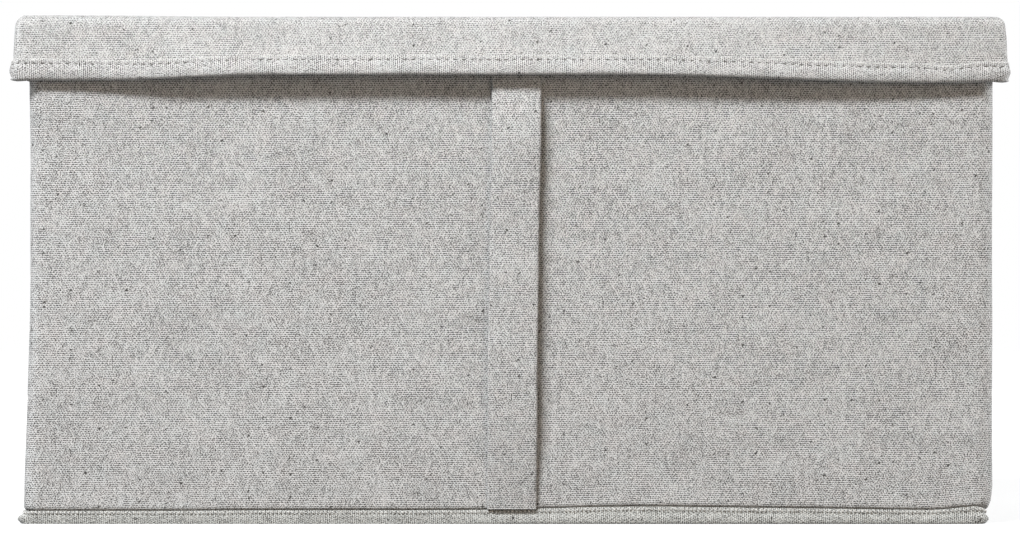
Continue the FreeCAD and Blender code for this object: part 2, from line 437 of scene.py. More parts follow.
def fit(piece: Object, body: Body, material: Material,
        stands_for: Sequence[str] = ()) -> Object:
    """Gives a finished piece its material and body, and hides the CAD nodes that it stands for.

    Args:
        piece: Finished object at the origin.
        body: Body that it moves with.
        material: Material of all its faces.
        stands_for: CAD nodes that it replaces.

    Returns:
        The same object.
    """
    piece.data.materials.clear()
    piece.data.materials.append(material)
    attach(piece, body.value)
    if stands_for:
        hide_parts(*stands_for)
    log.info("%s: %d faces, on %s", piece.name, len(piece.data.polygons), body.value)
    return piece


# ------------------------------------------------------------------ finishes
def empty_material(name: str) -> Material:
    """A new material whose node tree is empty.

    Args:
        name: Real material and how it is made.

    Returns:
        The material.
    """
    material = bpy.data.materials.new(name)
    material.use_nodes = True
    material.node_tree.nodes.clear()
    return material


@dataclass(frozen=True)
class Finish:
    """A matt fibrous finish: a tone that runs through a few colours, and a shallow relief."""

    name: str
    tones: tuple[tuple[float, str], ...]  # place on the scale from 0 to 1, and the colour there
    relief: float
    roughness: float
    fuzz: float = 0.0                     # weight of the sheen that loose fibres give
    fuzz_roughness: float = 0.6
    gloss: float = 0.25

    def pattern(self, tree: NodeTree) -> tuple[NodeSocket, NodeSocket]:
        """Adds the pattern's nodes and gives its tone and its height, each from 0 to 1."""
        raise NotImplementedError

    def dyed(self, tree: NodeTree, colour: NodeSocket) -> NodeSocket:
        """Colour of each place once tints and stains are on it."""
        return colour

    def material(self) -> Material:
        """Builds the node material.

        Returns:
            The material.
        """
        made = empty_material(self.name)
        tree = made.node_tree
        tone, height = self.pattern(tree)
        ramp = add_node(tree, "ShaderNodeValToRGB", {0: tone})
        stops = ramp.color_ramp.elements
        first, *between, last = self.tones
        for stop, (position, colour) in zip(stops, (first, last)):
            stop.position, stop.color = position, linear_colour(colour)
        for position, colour in between:
            stops.new(position).color = linear_colour(colour)
        bump = add_node(tree, "ShaderNodeBump",
                        {"Strength": 1.0, "Distance": self.relief, "Height": height})
        shader = add_node(tree, "ShaderNodeBsdfPrincipled", {
            "Base Color": self.dyed(tree, ramp.outputs[0]), "Roughness": self.roughness,
            "Normal": bump, "Specular IOR Level": self.gloss, "Sheen Weight": self.fuzz,
            "Sheen Roughness": self.fuzz_roughness})
        add_node(tree, "ShaderNodeOutputMaterial", {"Surface": shader})
        return made


def cloth_noise(tree: NodeTree, weft: NodeSocket, length: float, width: float,
                detail: float, shift: float) -> NodeSocket:
    """Noise about zero, set out by the weave.

    Args:
        tree: Tree that gets its nodes.
        weft: Place on the cloth, X along the weft.
        length: Size of its features along the weft.
        width: Their size across it.
        detail: How many finer layers it has.
        shift: Start of the pattern, so that no two noises are alike.

    Returns:
        The noise, about plus or minus a half.
    """
    place = add_node(tree, "ShaderNodeVectorMath", {
        0: weft, 1: (1.0 / length, 1.0 / width, 0.0), 2: (shift, shift, 0.0)},
        operation="MULTIPLY_ADD")
    grain = add_node(tree, "ShaderNodeTexNoise", {
        "Vector": place, "Scale": 1.0, "Detail": detail, "Roughness": 0.62}, noise_dimensions="2D")
    about_zero = add_node(tree, "ShaderNodeMath", {0: grain, 1: 0.5}, operation="SUBTRACT")
    return about_zero.outputs[0]


@dataclass(frozen=True)
class MelangeCanvas(Finish):
    """Cotton-polyester canvas, plain weave from flecked yarn: pale grey with single darker floats and
    a dark slub here and there; painted shade darkens the fine grooves between the picks and a painted
    highlight lifts the middle of each float."""

    name: str = "cotton_canvas_plain_woven"
    tones: tuple[tuple[float, str], ...] = ((0.0, "#484644"), (0.5, "#C5C4C2"), (1.0, "#DCDBD9"))
    relief: float = 0.10 * MM
    roughness: float = 0.92
    fuzz: float = 0.08
    grain: Grain = Grain.ALONG
    slub: str = "#3E3B37"
    warm: str = "#FFFAF8"
    cool: str = "#FBFCFB"
    pick_spacing: float = 1.06 * MM       # from one weft thread to the next
    float_length: float = 1.48 * MM       # one weft thread shows this long between warp threads
    fibre: float = 0.50 * MM              # single flecks of dark fibre
    cloud: float = 30.0 * MM              # widest change of tone
    lot: tuple[float, float] = (12 * MM, 9 * MM)        # patches of one lot of yarn
    slub_field: tuple[float, float] = (7 * MM, 6 * MM)  # one slub at most in each
    contrast: float = 0.96
    brightness: float = 0.50

    def weft(self, tree: NodeTree) -> NodeSocket:
        """Place on the cloth in metres: X along the weft, Y across it.

        Args:
            tree: Material's node tree.

        Returns:
            Socket that gives the place.
        """
        place = add_node(tree, "ShaderNodeUVMap", uv_map=CLOTH_MAP)
        if self.grain is Grain.ALONG:
            return place.outputs[0]
        axes = add_node(tree, "ShaderNodeSeparateXYZ", {0: place})
        turned = add_node(tree, "ShaderNodeCombineXYZ", {0: axes.outputs[1], 1: axes})
        return turned.outputs[0]

    def pattern(self, tree: NodeTree) -> tuple[NodeSocket, NodeSocket]:
        """Adds the weave's nodes and gives its tone and its height, each from 0 to 1.

        Args:
            tree: Material's node tree.

        Returns:
            Sockets of the tone and the height.
        """
        weft = self.weft(tree)
        axes = add_node(tree, "ShaderNodeSeparateXYZ", {0: weft})
        made = {"along": axes.outputs[0], "across": axes.outputs[1]}
        for name, length, width, detail, shift in (
                ("wander", 15 * MM, 9 * MM, 1.0, 3.7), ("stray", 7 * MM, 5 * MM, 1.0, 11.3),
                ("fullness", 6 * MM, 5 * MM, 2.0, 21.0), ("streaks", 2.6 * MM, 7 * MM, 1.0, 13.0),
                ("flecks", self.fibre * 1.3, self.fibre, 1.0, 5.0),
                ("clouds", self.cloud, self.cloud * 0.7, 6.0, 2.0)):
            made[name] = cloth_noise(tree, weft, length, width, detail, shift)
        pace, full_turn = 1.0 / self.float_length, 2.0 * math.pi
        others = {"PAIR": ("ShaderNodeCombineXYZ", {}), "CLAMP": ("ShaderNodeClamp", {}),
                  "RANDOM": ("ShaderNodeTexWhiteNoise", {"noise_dimensions": "2D"})}
        for name, step, *values in (
                # Picks wander a little, which makes them crowd in some places and part in others.
                ("crowding", "MULTIPLY", "wander", 0.65),
                ("pick", "MULTIPLY_ADD", "across", 1.0 / self.pick_spacing, "crowding"),
                ("pick_number", "FLOOR", "pick"),
                ("pick_angle", "MULTIPLY", "pick", full_turn),
                ("pick_wave", "COSINE", "pick_angle"),
                ("crown", "MULTIPLY_ADD", "pick_wave", -0.5, 0.5),
                # Every other pick is set off by half a float, and floats differ in length.
                ("drift", "MULTIPLY", "stray", 1.8),
                ("offset", "MULTIPLY_ADD", "pick_number", 0.5, "drift"),
                ("warp", "MULTIPLY_ADD", "along", pace, "offset"),
                ("warp_angle", "MULTIPLY", "warp", full_turn),
                ("warp_wave", "COSINE", "warp_angle"),
                ("bulge", "MULTIPLY_ADD", "warp_wave", -0.5, 0.5),
                # Each float is of one yarn, darker or paler than the next.
                ("warp_number", "FLOOR", "warp"),
                ("cell", "PAIR", "warp_number", "pick_number"),
                ("yarn", "RANDOM", "cell"),
                ("yarn_tone", "SUBTRACT", "yarn", 0.5),
                # Painted shade: the groove between two picks is darkened, most where a warp thread
                # dips through it,
                #                 # and where the yarn is full the groove closes, so the rows are
                #                 dotted and come and go.
                ("pick_edge", "ADD", "pick", 0.5),
                ("dip_number", "FLOOR", "pick_edge"),
                ("dip_offset", "MULTIPLY_ADD", "along", pace, "drift"),
                ("dip_place", "MULTIPLY_ADD", "dip_number", 0.5, "dip_offset"),
                ("dip_angle", "MULTIPLY", "dip_place", full_turn),
                ("dip_wave", "COSINE", "dip_angle"),
                ("dip", "MULTIPLY_ADD", "dip_wave", 0.5, 0.5),
                ("openness", "MULTIPLY_ADD", "fullness", 3.0, 0.95),
                ("gaps", "CLAMP", "openness", 0.4, 1.6),
                ("groove", "SUBTRACT", "crown", 1.0),
                ("dotted", "MULTIPLY_ADD", "dip", 0.9, 0.55),
                ("rows", "MULTIPLY", "groove", "dotted"),
                ("rows_level", "ADD", "rows", 0.5),
                ("lines", "MULTIPLY", "rows_level", "gaps"),
                # Painted highlight: a float's middle is made paler where it would catch the light,
                # more so in pale yarn.
                ("swell", "SUBTRACT", "bulge", 0.55),
                ("float_highlight", "MULTIPLY", "swell", "crown"),
                ("yarn_share", "MULTIPLY_ADD", "yarn_tone", 1.2, 1.0),
                ("dots", "MULTIPLY", "float_highlight", "yarn_share"),
                # All of it adds up to the tone.
                ("tone_groove_shade", "MULTIPLY", "lines", 0.74),
                ("tone_dots", "MULTIPLY_ADD", "dots", 0.70, "tone_groove_shade"),
                ("tone_yarn", "MULTIPLY_ADD", "yarn_tone", 0.38, "tone_dots"),
                ("tone_streaks", "MULTIPLY_ADD", "streaks", 0.42, "tone_yarn"),
                ("tone_flecks", "MULTIPLY_ADD", "flecks", 2.6, "tone_streaks"),
                ("tone_clouds", "MULTIPLY_ADD", "clouds", 0.36, "tone_flecks"),
                ("tone", "MULTIPLY_ADD", "tone_clouds", self.contrast, self.brightness),
                # The relief is the crown of the picks, fuller at each float.
                ("rounding", "MULTIPLY_ADD", "bulge", 0.5, 0.5),
                ("rounded", "MULTIPLY", "crown", "rounding"),
                ("height", "MULTIPLY_ADD", "yarn_tone", 0.35, "rounded")):
            kind, settings = others.get(step, ("ShaderNodeMath", {"operation": step}))
            inputs = {place: made.get(value, value) for place, value in enumerate(values)}
            made[name] = add_node(tree, kind, inputs, **settings).outputs[0]
        return made["tone"], made["height"]

    def dyed(self, tree: NodeTree, colour: NodeSocket) -> NodeSocket:
        """Adds the tint of the yarn's lots and the dark slubs.

        Args:
            tree: Tree that gets the nodes.
            colour: Colour of each place before that.

        Returns:
            The colour with both on it.
        """
        # The yarn is spun from more than one lot, so its grey leans warm here and cool there.
        weft = self.weft(tree)
        lot = add_node(tree, "ShaderNodeMath",
                       {0: cloth_noise(tree, weft, *self.lot, 2.0, 31.0), 1: 1.3, 2: 0.5},
                       operation="MULTIPLY_ADD")
        tint = add_node(tree, "ShaderNodeMix", {
            0: lot, 6: linear_colour(self.warm), 7: linear_colour(self.cool)}, data_type="RGBA")
        tinted = add_node(tree, "ShaderNodeMix",
                          {0: 1.0, 6: colour, 7: tint.outputs[2]},
                          data_type="RGBA", blend_type="MULTIPLY")

        # Slubs are ragged knots of dark fibre, under a millimetre wide, in a few of the fields.
        ragged = add_node(tree, "ShaderNodeMath",
                          {0: cloth_noise(tree, weft, 0.8 * MM, 0.6 * MM, 0.0, 17.0), 1: 0.16},
                          operation="MULTIPLY")
        length, width = self.slub_field
        place = add_node(tree, "ShaderNodeVectorMath", {
            0: weft, 1: (1.0 / length, 1.0 / width, 0.0), 2: ragged}, operation="MULTIPLY_ADD")
        knots = add_node(tree, "ShaderNodeTexVoronoi",
                         {"Vector": place, "Scale": 1.0}, voronoi_dimensions="2D")
        lottery = add_node(tree, "ShaderNodeSeparateColor", {0: knots.outputs["Color"]})
        luck = add_node(tree, "ShaderNodeMath", {0: lottery, 1: 3.5}, operation="POWER")
        radius = add_node(tree, "ShaderNodeMath", {0: luck, 1: 0.10}, operation="MULTIPLY")
        inside = add_node(tree, "ShaderNodeMath",
                          {0: radius, 1: knots.outputs["Distance"]}, operation="SUBTRACT")
        cover = add_node(tree, "ShaderNodeMapRange",
                         {0: inside, 1: -0.015, 2: 0.022, 3: 0.0, 4: 0.95})
        slubbed = add_node(tree, "ShaderNodeMix", {
            0: cover, 6: tinted.outputs[2], 7: linear_colour(self.slub)}, data_type="RGBA")
        return slubbed.outputs[2]


@dataclass(frozen=True)
class SewingThread(Finish):
    """Spun polyester sewing thread, two-ply twisted: a paler, slightly glossier line."""

    name: str = "polyester_thread_twisted"
    tones: tuple[tuple[float, str], ...] = ((0.0, "#B9B5AF"), (1.0, "#E6E3DE"))
    relief: float = 0.06 * MM
    roughness: float = 0.7
    twist_pitch: float = 0.45 * MM

    def pattern(self, tree: NodeTree) -> tuple[NodeSocket, NodeSocket]:
        """Adds the slanting plies.

        Args:
            tree: Material's node tree.

        Returns:
            Sockets of the tone and the height.
        """
        place = add_node(tree, "ShaderNodeTexCoord")
        plies = add_node(tree, "ShaderNodeTexWave", {
            "Vector": place.outputs["Object"], "Scale": 0.16 / self.twist_pitch,
            "Distortion": 0.6}, bands_direction="DIAGONAL")
        return plies.outputs[1], plies.outputs[1]


@dataclass(frozen=True)
class NonWovenLining(Finish):
    """Spunbond polypropylene, hot-pressed with a dot pattern: pale, faintly cloudy, dimpled."""

    name: str = "polypropylene_nonwoven_pressed"
    tones: tuple[tuple[float, str], ...] = ((0.0, "#C2C0BA"), (1.0, "#DCDAD5"))
    relief: float = 0.12 * MM
    roughness: float = 0.85
    fuzz: float = 0.03
    dot_spacing: float = 1.9 * MM
    cloud: float = 6.25 * MM

    def pattern(self, tree: NodeTree) -> tuple[NodeSocket, NodeSocket]:
        """Adds the pressed dots over the cloudy web of fibres.

        Args:
            tree: Material's node tree.

        Returns:
            Sockets of the tone and the height.
        """
        place = add_node(tree, "ShaderNodeTexCoord")
        clouds = add_node(tree, "ShaderNodeTexNoise", {
            "Vector": place.outputs["Object"], "Scale": 1.0 / self.cloud, "Detail": 6.0,
            "Roughness": 0.7})
        dots = add_node(tree, "ShaderNodeTexVoronoi", {
            "Vector": place.outputs["Object"], "Scale": 1.0 / self.dot_spacing, "Randomness": 0.25})
        dimple = add_node(tree, "ShaderNodeMapRange",
                          {0: dots.outputs["Distance"], 1: 0.12, 2: 0.34})
        cloudy = add_node(tree, "ShaderNodeMath",
                          {0: clouds, 1: 1.6, 2: -0.45}, operation="MULTIPLY_ADD")
        tone = add_node(tree, "ShaderNodeMath",
                        {0: dimple, 1: 0.35, 2: cloudy}, operation="MULTIPLY_ADD")
        return tone.outputs[0], tone.outputs[0]


@dataclass(frozen=True)
class GreyBoard(Finish):
    """Recycled grey paperboard, pressed from pulp: flat, matt, speckled with bits of fibre."""

    name: str = "recycled_greyboard_pressed"
    tones: tuple[tuple[float, str], ...] = ((0.3, "#827B70"), (0.62, "#A39C90"))
    relief: float = 0.05 * MM
    roughness: float = 0.95
    fibre: float = 1.6 * MM

    def pattern(self, tree: NodeTree) -> tuple[NodeSocket, NodeSocket]:
        """Adds the speckle of the pulp.

        Args:
            tree: Material's node tree.

        Returns:
            Sockets of the tone and the height.
        """
        place = add_node(tree, "ShaderNodeTexCoord")
        pulp = add_node(tree, "ShaderNodeTexNoise", {
            "Vector": place.outputs["Object"], "Scale": 1.0 / self.fibre, "Detail": 5.0,
            "Roughness": 0.75})
        return pulp.outputs[0], pulp.outputs[0]


@dataclass(frozen=True)
class Finishes:
    """One material of each finish of the box."""

    canvas: Material
    lid_canvas: Material
    lid_tape: Material
    base_tape: Material
    thread: Material
    sunk_thread: Material
    lining: Material
    board: Material

    @classmethod
    def made(cls) -> "Finishes":
        """Builds them all.

        Returns:
            Every material that the box is made of.
        """
        binding = MelangeCanvas(grain=Grain.ACROSS, float_length=1.1 * MM)
        return cls(
            canvas=MelangeCanvas().material(),
            lid_canvas=MelangeCanvas(name="cotton_canvas_plain_woven_lid", contrast=0.72,
                                     brightness=0.51).material(),
            lid_tape=replace(binding, name="cotton_canvas_binding_cut_across", contrast=0.82,
                             brightness=0.51).material(),
            # The base tape is a darker copy of the binding: its darkening is painted shade along the
            # foot of the box.
            base_tape=replace(binding, name="cotton_canvas_base_binding_cut_across", contrast=0.64,
                              brightness=0.378, warm="#FEFCF7", cool="#FBFCF8").material(),
            thread=SewingThread().material(),
            # Darker copy of the thread for the tape's lockstitches: painted shade where they sink
            # into the tape.
            sunk_thread=SewingThread(name="polyester_thread_sunk_painted_shade",
                                     tones=((0.0, "#54514D"), (1.0, "#77736D"))).material(),
            lining=NonWovenLining().material(),
            board=GreyBoard().material())


# ------------------------------------------------------------------ stitches
@dataclass(frozen=True)
class StitchRow:
    """A row of equal stitches along a seam, set out by Geometry Nodes."""

    pitch: float
    length: float
    thickness: float
    unevenness: float = 0.12
    slant: float = 0.0                    # turn of each stitch against the seam
    facets: int = 6
    rings: int = 5
    seed: int = 5

    def count(self, line: np.ndarray) -> int:
        """How many stitches fit on a line of points."""
        length = float(np.linalg.norm(np.diff(line, axis=0), axis=1).sum())
        return max(2, round(length / self.pitch) + 1)

    def tree(self) -> NodeTree:
        """Builds the node tree that puts a spindle of thread at each stitch of a path.

        Returns:
            The node tree, with its measures as inputs.
        """
        tree = bpy.data.node_groups.new("stitches_along_seam", "GeometryNodeTree")
        for name, kind in (("Seam", "Geometry"), ("Stitch Count", "Int"), ("Stitch Length", "Float"),
                           ("Thread Thickness", "Float"), ("Unevenness", "Float"), ("Slant", "Float"),
                           ("Thread", "Material")):
            tree.interface.new_socket(name, in_out="INPUT", socket_type="NodeSocket" + kind)
        tree.interface.new_socket("Stitches", in_out="OUTPUT", socket_type="NodeSocketGeometry")
        given = add_node(tree, "NodeGroupInput").outputs
        path = add_node(tree, "GeometryNodeMeshToCurve", {0: given["Seam"]})
        spaced = add_node(tree, "GeometryNodeResampleCurve",
                          {"Curve": path, "Count": given["Stitch Count"]}, mode="COUNT")
        tangent = add_node(tree, "GeometryNodeInputTangent")
        along = add_node(tree, "FunctionNodeAlignRotationToVector", {"Vector": tangent}, axis="X")
        turn = add_node(tree, "ShaderNodeCombineXYZ", {1: given["Slant"]})
        turned = add_node(tree, "FunctionNodeRotateRotation",
                          {0: along, 1: turn}, rotation_space="LOCAL")
        half, thin, least, most = (
            add_node(tree, "ShaderNodeMath", {0: first, 1: second}, operation=step).outputs[0]
            for step, first, second in (
                ("MULTIPLY", given["Stitch Length"], 0.5),
                ("MULTIPLY", given["Thread Thickness"], 0.5),
                ("SUBTRACT", 1.0, given["Unevenness"]), ("ADD", 1.0, given["Unevenness"])))
        scale = add_node(tree, "ShaderNodeCombineXYZ", {0: half, 1: thin, 2: thin})
        vary = add_node(tree, "FunctionNodeRandomValue",
                        {2: least, 3: most, "Seed": self.seed}, data_type="FLOAT")
        sized = add_node(tree, "ShaderNodeVectorMath",
                         {0: scale, "Scale": vary.outputs[1]}, operation="SCALE")
        spindle = add_node(tree, "GeometryNodeMeshUVSphere",
                           {"Segments": self.facets, "Rings": self.rings, "Radius": 1.0})
        placed = add_node(tree, "GeometryNodeInstanceOnPoints", {
            "Points": spaced, "Instance": spindle,
            "Rotation": turned, "Scale": sized})
        real = add_node(tree, "GeometryNodeRealizeInstances", {0: placed})
        smooth = add_node(tree, "GeometryNodeSetShadeSmooth", {"Geometry": real})
        dressed = add_node(tree, "GeometryNodeSetMaterial",
                           {"Geometry": smooth, "Material": given["Thread"]})
        add_node(tree, "NodeGroupOutput", {0: dressed})
        return tree

    def sewn(self, name: str, lines: Sequence[np.ndarray], thread: Material, body: Body,
             slot: Slot) -> Object:
        """Sews the row along some lines.

        Args:
            name: Name of the piece.
            lines: Open lines of points in metres.
            thread: Material of the thread.
            body: Body that the stitches move with.
            slot: Record slot of the cloth that they are sewn to; not used.

        Returns:
            One plain mesh with all the stitches.
        """
        tree = self.tree()
        parts = []
        for line in lines:
            mesh = bpy.data.meshes.new(name)
            mesh.from_pydata(line.tolist(), [[k, k + 1] for k in range(len(line) - 1)], [])
            part = added(name, mesh)
            sewing = part.modifiers.new("stitches", "NODES")
            sewing.node_group = tree
            values = {"Stitch Count": self.count(line), "Stitch Length": self.length,
                      "Thread Thickness": self.thickness, "Unevenness": self.unevenness,
                      "Slant": self.slant, "Thread": thread}
            for socket in tree.interface.items_tree:
                if socket.name in values:
                    sewing[socket.identifier] = values[socket.name]
            bpy.context.view_layer.update()
            parts.append(baked(part))
        with opened(parts[0].data) as work:
            for part in parts[1:]:
                work.from_mesh(part.data)
                bpy.data.objects.remove(part)
        return fit(parts[0], body, thread)


PLAIN_SEAM = StitchRow(3.6 * MM, 3.0 * MM, 0.55 * MM)


def seam_line(rail: Rail, out: Number, up: Number) -> np.ndarray:
    """Points in space beside a rail, so far out from it and so high; closed where it is.

    Args:
        rail: Rail that the line follows.
        out: Distance out from the rail.
        up: Height, one for all or one per station.

    Returns:
        Points of the line.
    """
    flat = rail.bent_out(out)
    line = np.column_stack([flat, np.broadcast_to(up, len(flat))])
    return np.vstack([line, line[:1]]) if rail.closed else line


# ------------------------------------------------------------------ body of the box
@dataclass
class BoxShell:
    """Canvas walls with their turned-in hem, the wall lining and the bottom cloth."""

    finishes: Finishes
    canvas: float = 1.2 * MM
    lining_cloth: float = 0.4 * MM
    bottom_cloth: float = 1.0 * MM
    corner: float = 7.5 * MM
    inner_corner: float = 0.8 * MM
    seam_height: float = 7.15 * MM
    seam_strays: tuple[Union[Swell, Change], ...] = (   # along the front, by place
        Swell(1.9 * MM, 66 * MM, 58 * MM), Swell(0.8 * MM, 150 * MM, 50 * MM),
        Change(-0.3 * MM, -120 * MM, -180 * MM), Change(2.2 * MM, 212 * MM, 243 * MM))
    seam_fade: Change = Change(1.0, 60 * MM, 0.0)       # share of it that reaches up the wall
    straight: tuple[float, float] = (4.5 * MM, 3 * MM)  # rows keep this far from foot and roll
    foot: tuple[tuple[float, float], ...] = (           # canvas in the seam, out and up
        (-2.2, -1.6), (-1.5, 0.0), (-0.5, 0.35), (0.05, 1.1), (0.12, 2.4))
    rows: int = 34                                      # rows of points up the walls
    rim_roll: float = 1.6 * MM
    rim_hold: Change = Change(1.0, 246 * MM, 230 * MM)  # the rim holds the canvas straight
    sway_share: tuple[Change, ...] = (Change(1.0, 2 * MM, 20 * MM), Change(1.0, 246 * MM, 225 * MM))
    hem_inset: float = 5.4 * MM
    hem_depth: float = 20.0 * MM
    hem_stitch_up: float = 2.5 * MM                     # above the hem's edge
    overlap: float = 15 * MM                            # where the wall canvas is joined
    station_step: float = 6.0 * MM
    inner_step: float = 12.0 * MM
    bulge_left: Change = Change(3.2 * MM, 125 * MM, 8 * MM)
    lean: float = 0.3 * MM
    fullness_right: float = 0.8 * MM
    tuck_right: Change = Change(2.6 * MM, 15 * MM, 6.5 * MM)
    bulge_front: Change = Change(2.0 * MM, -165 * MM, -215 * MM)  # at its left end, under the lid
    bulge_rise: Change = Change(1.0, 185 * MM, 224 * MM)
    unevenness: Ripple = Ripple(0.16 * MM, 90 * MM, 11)
    lining_inset: float = 4.8 * MM
    lining_slack: float = 0.12 * MM
    lining_turn_in: float = 3 * MM                      # how far it goes up under the hem
    lining_rows: int = 22
    lining_sway: Ripple = Ripple(0.12 * MM, 70 * MM, 3)
    bottom_height: float = 7.55 * MM
    bottom_inset: float = 2.4 * MM
    bottom_short: float = 2 * MM                        # and this much shorter at the right
    bottom_sag: float = 0.5 * MM
    bottom_points: tuple[int, int] = (62, 44)
    bottom_sway: Ripple = Ripple(0.1 * MM, 60 * MM, 8)
    low: Vector = field(default_factory=lambda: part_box("outer_cover")[0])
    high: Vector = field(default_factory=lambda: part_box("outer_cover")[1])

    def rail(self, inset: float, radius: float, step: float) -> Rail:
        """Closed rail round the walls, moved in by inset."""
        return rounded_rail((self.low.x + inset, self.low.y + inset),
                            (self.high.x - inset, self.high.y - inset), radius, step, True)

    def seam_rise(self, x: np.ndarray) -> np.ndarray:
        """How far the bottom seam strays above its height along the front."""
        return sum(stray.at(x) for stray in self.seam_strays)

    def settling(self, outward_x: np.ndarray, z: np.ndarray) -> np.ndarray:
        """How far the walls stand out: filled out at the lower left, drawn in at the right.

        Args:
            outward_x: Sideways part of the outward direction.
            z: Heights.

        Returns:
            Distances, stations by rows.
        """
        left = np.clip(-outward_x, 0.0, 1.0)
        right = np.clip(outward_x, 0.0, 1.0)
        fuller = self.bulge_left.at(z)
        drawn = self.tuck_right.at(z) - self.fullness_right
        return left * (fuller - self.lean) - right * (drawn - self.lean)

    def profile(self) -> tuple[np.ndarray, np.ndarray]:
        """How far out and up the canvas goes: seam, wall, rolled rim and hem inside.

        Returns:
            Distances out from the rail, and heights above the seam.
        """
        rim, roll = self.high.z, self.rim_roll
        turn = np.linspace(0.0, math.pi / 2, 5)
        foot_out, foot_up = np.array(self.foot).T * MM
        start, end = self.straight
        out = np.concatenate([
            foot_out, np.zeros(self.rows), -roll + roll * np.cos(turn),
            -self.hem_inset + roll - roll * np.sin(turn), np.full(3, -self.hem_inset)])
        up = np.concatenate([
            foot_up, np.linspace(start, rim - roll - self.seam_height - end, self.rows),
            rim - self.seam_height - roll + roll * np.sin(turn),
            rim - self.seam_height - roll + roll * np.cos(turn),
            np.linspace(rim - roll - 5 * MM, rim - self.hem_depth, 3) - self.seam_height])
        return out, up

    def walls(self) -> Object:
        """Canvas from the bottom seam up over the rim and down inside to the hem's edge.

        Returns:
            The piece.
        """
        rail = self.rail(0.0, self.corner, self.station_step)
        out, up = self.profile()
        run, along = distance_run(out, up), rail.full_run()
        x, front = rail.points[:, :1], rail.facing_front()[:, None]
        z = self.seam_height + up + self.seam_rise(x) * front * self.seam_fade.at(up)
        outside = np.arange(len(up)) < len(self.foot) + self.rows
        sway = self.unevenness.at(rail.run[:, None], up) * outside
        for share in self.sway_share:
            sway = sway * share.at(up)
        shoulder = (self.bulge_front.at(x) * front * self.bulge_rise.at(z)
                    * self.rim_hold.at(z) * outside)
        settled = self.settling(rail.outward[:, :1], z) * self.rim_hold.at(up)
        points = rail.surface(out + settled + sway + shoulder, z)
        piece = cloth_object("body_canvas", [grid_patch(points, grid_of(along, run), closed=True)])
        thickened(piece, self.canvas)
        fit(piece, Body.BOX, self.finishes.canvas, ["outer_cover"])
        return piece

    def wall_lining(self) -> Object:
        """Inner cloth on all four walls, its top edge under the canvas hem.

        Returns:
            The piece.
        """
        rail = self.rail(self.lining_inset, self.inner_corner, self.inner_step)
        low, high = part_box("wall_lining")
        up = np.linspace(high.z + self.lining_turn_in, low.z, self.lining_rows)
        along = rail.full_run()
        reach = self.lining_sway.at(rail.run[:, None], up) - self.lining_slack
        cloth = grid_of(along, up)
        piece = cloth_object("inner_lining",
                             [grid_patch(rail.surface(reach, up), cloth, closed=True)])
        thickened(piece, self.lining_cloth)
        fit(piece, Body.BOX, self.finishes.lining, ["wall_lining"])
        return piece

    def bottom(self) -> Object:
        """Bottom cloth inside the bound ridge, sagging a little in the middle.

        Returns:
            The piece.
        """
        inset = self.bottom_inset
        columns, rows = self.bottom_points
        x = np.linspace(self.low.x + inset, self.high.x - inset - self.bottom_short, columns)
        y = np.linspace(self.low.y + inset, self.high.y - inset, rows)
        cloth = grid_of(x, y)
        grid_x, grid_y = cloth[:, :, 0], cloth[:, :, 1]
        sag = self.bottom_sag * np.sin(math.pi * (grid_x - x[0]) / (x[-1] - x[0])) * np.sin(
            math.pi * (grid_y - y[0]) / (y[-1] - y[0]))
        z = self.bottom_height - sag + self.bottom_sway.at(grid_x, grid_y)
        points = np.stack([grid_x, grid_y, z], axis=-1)
        piece = cloth_object("bottom_canvas", [grid_patch(points, cloth, flip=True)])
        thickened(piece, self.bottom_cloth)
        fit(piece, Body.BOX, self.finishes.canvas, ["bottom_cover"])
        return piece

    def hem_stitches(self) -> Object:
        """One row of lockstitches along the hem inside the rim.

        Returns:
            The piece.
        """
        rail = self.rail(self.hem_inset, self.inner_corner, self.inner_step)
        line = seam_line(rail, -0.1 * MM, self.high.z - self.hem_depth + self.hem_stitch_up)
        return PLAIN_SEAM.sewn("rim_hem_stitches", [line], self.finishes.thread, Body.BOX,
                               Slot.CANVAS)

    def build(self) -> list[Object]:
        """Builds every piece of the shell."""
        return [self.walls(), self.wall_lining(), self.bottom(), self.hem_stitches()]


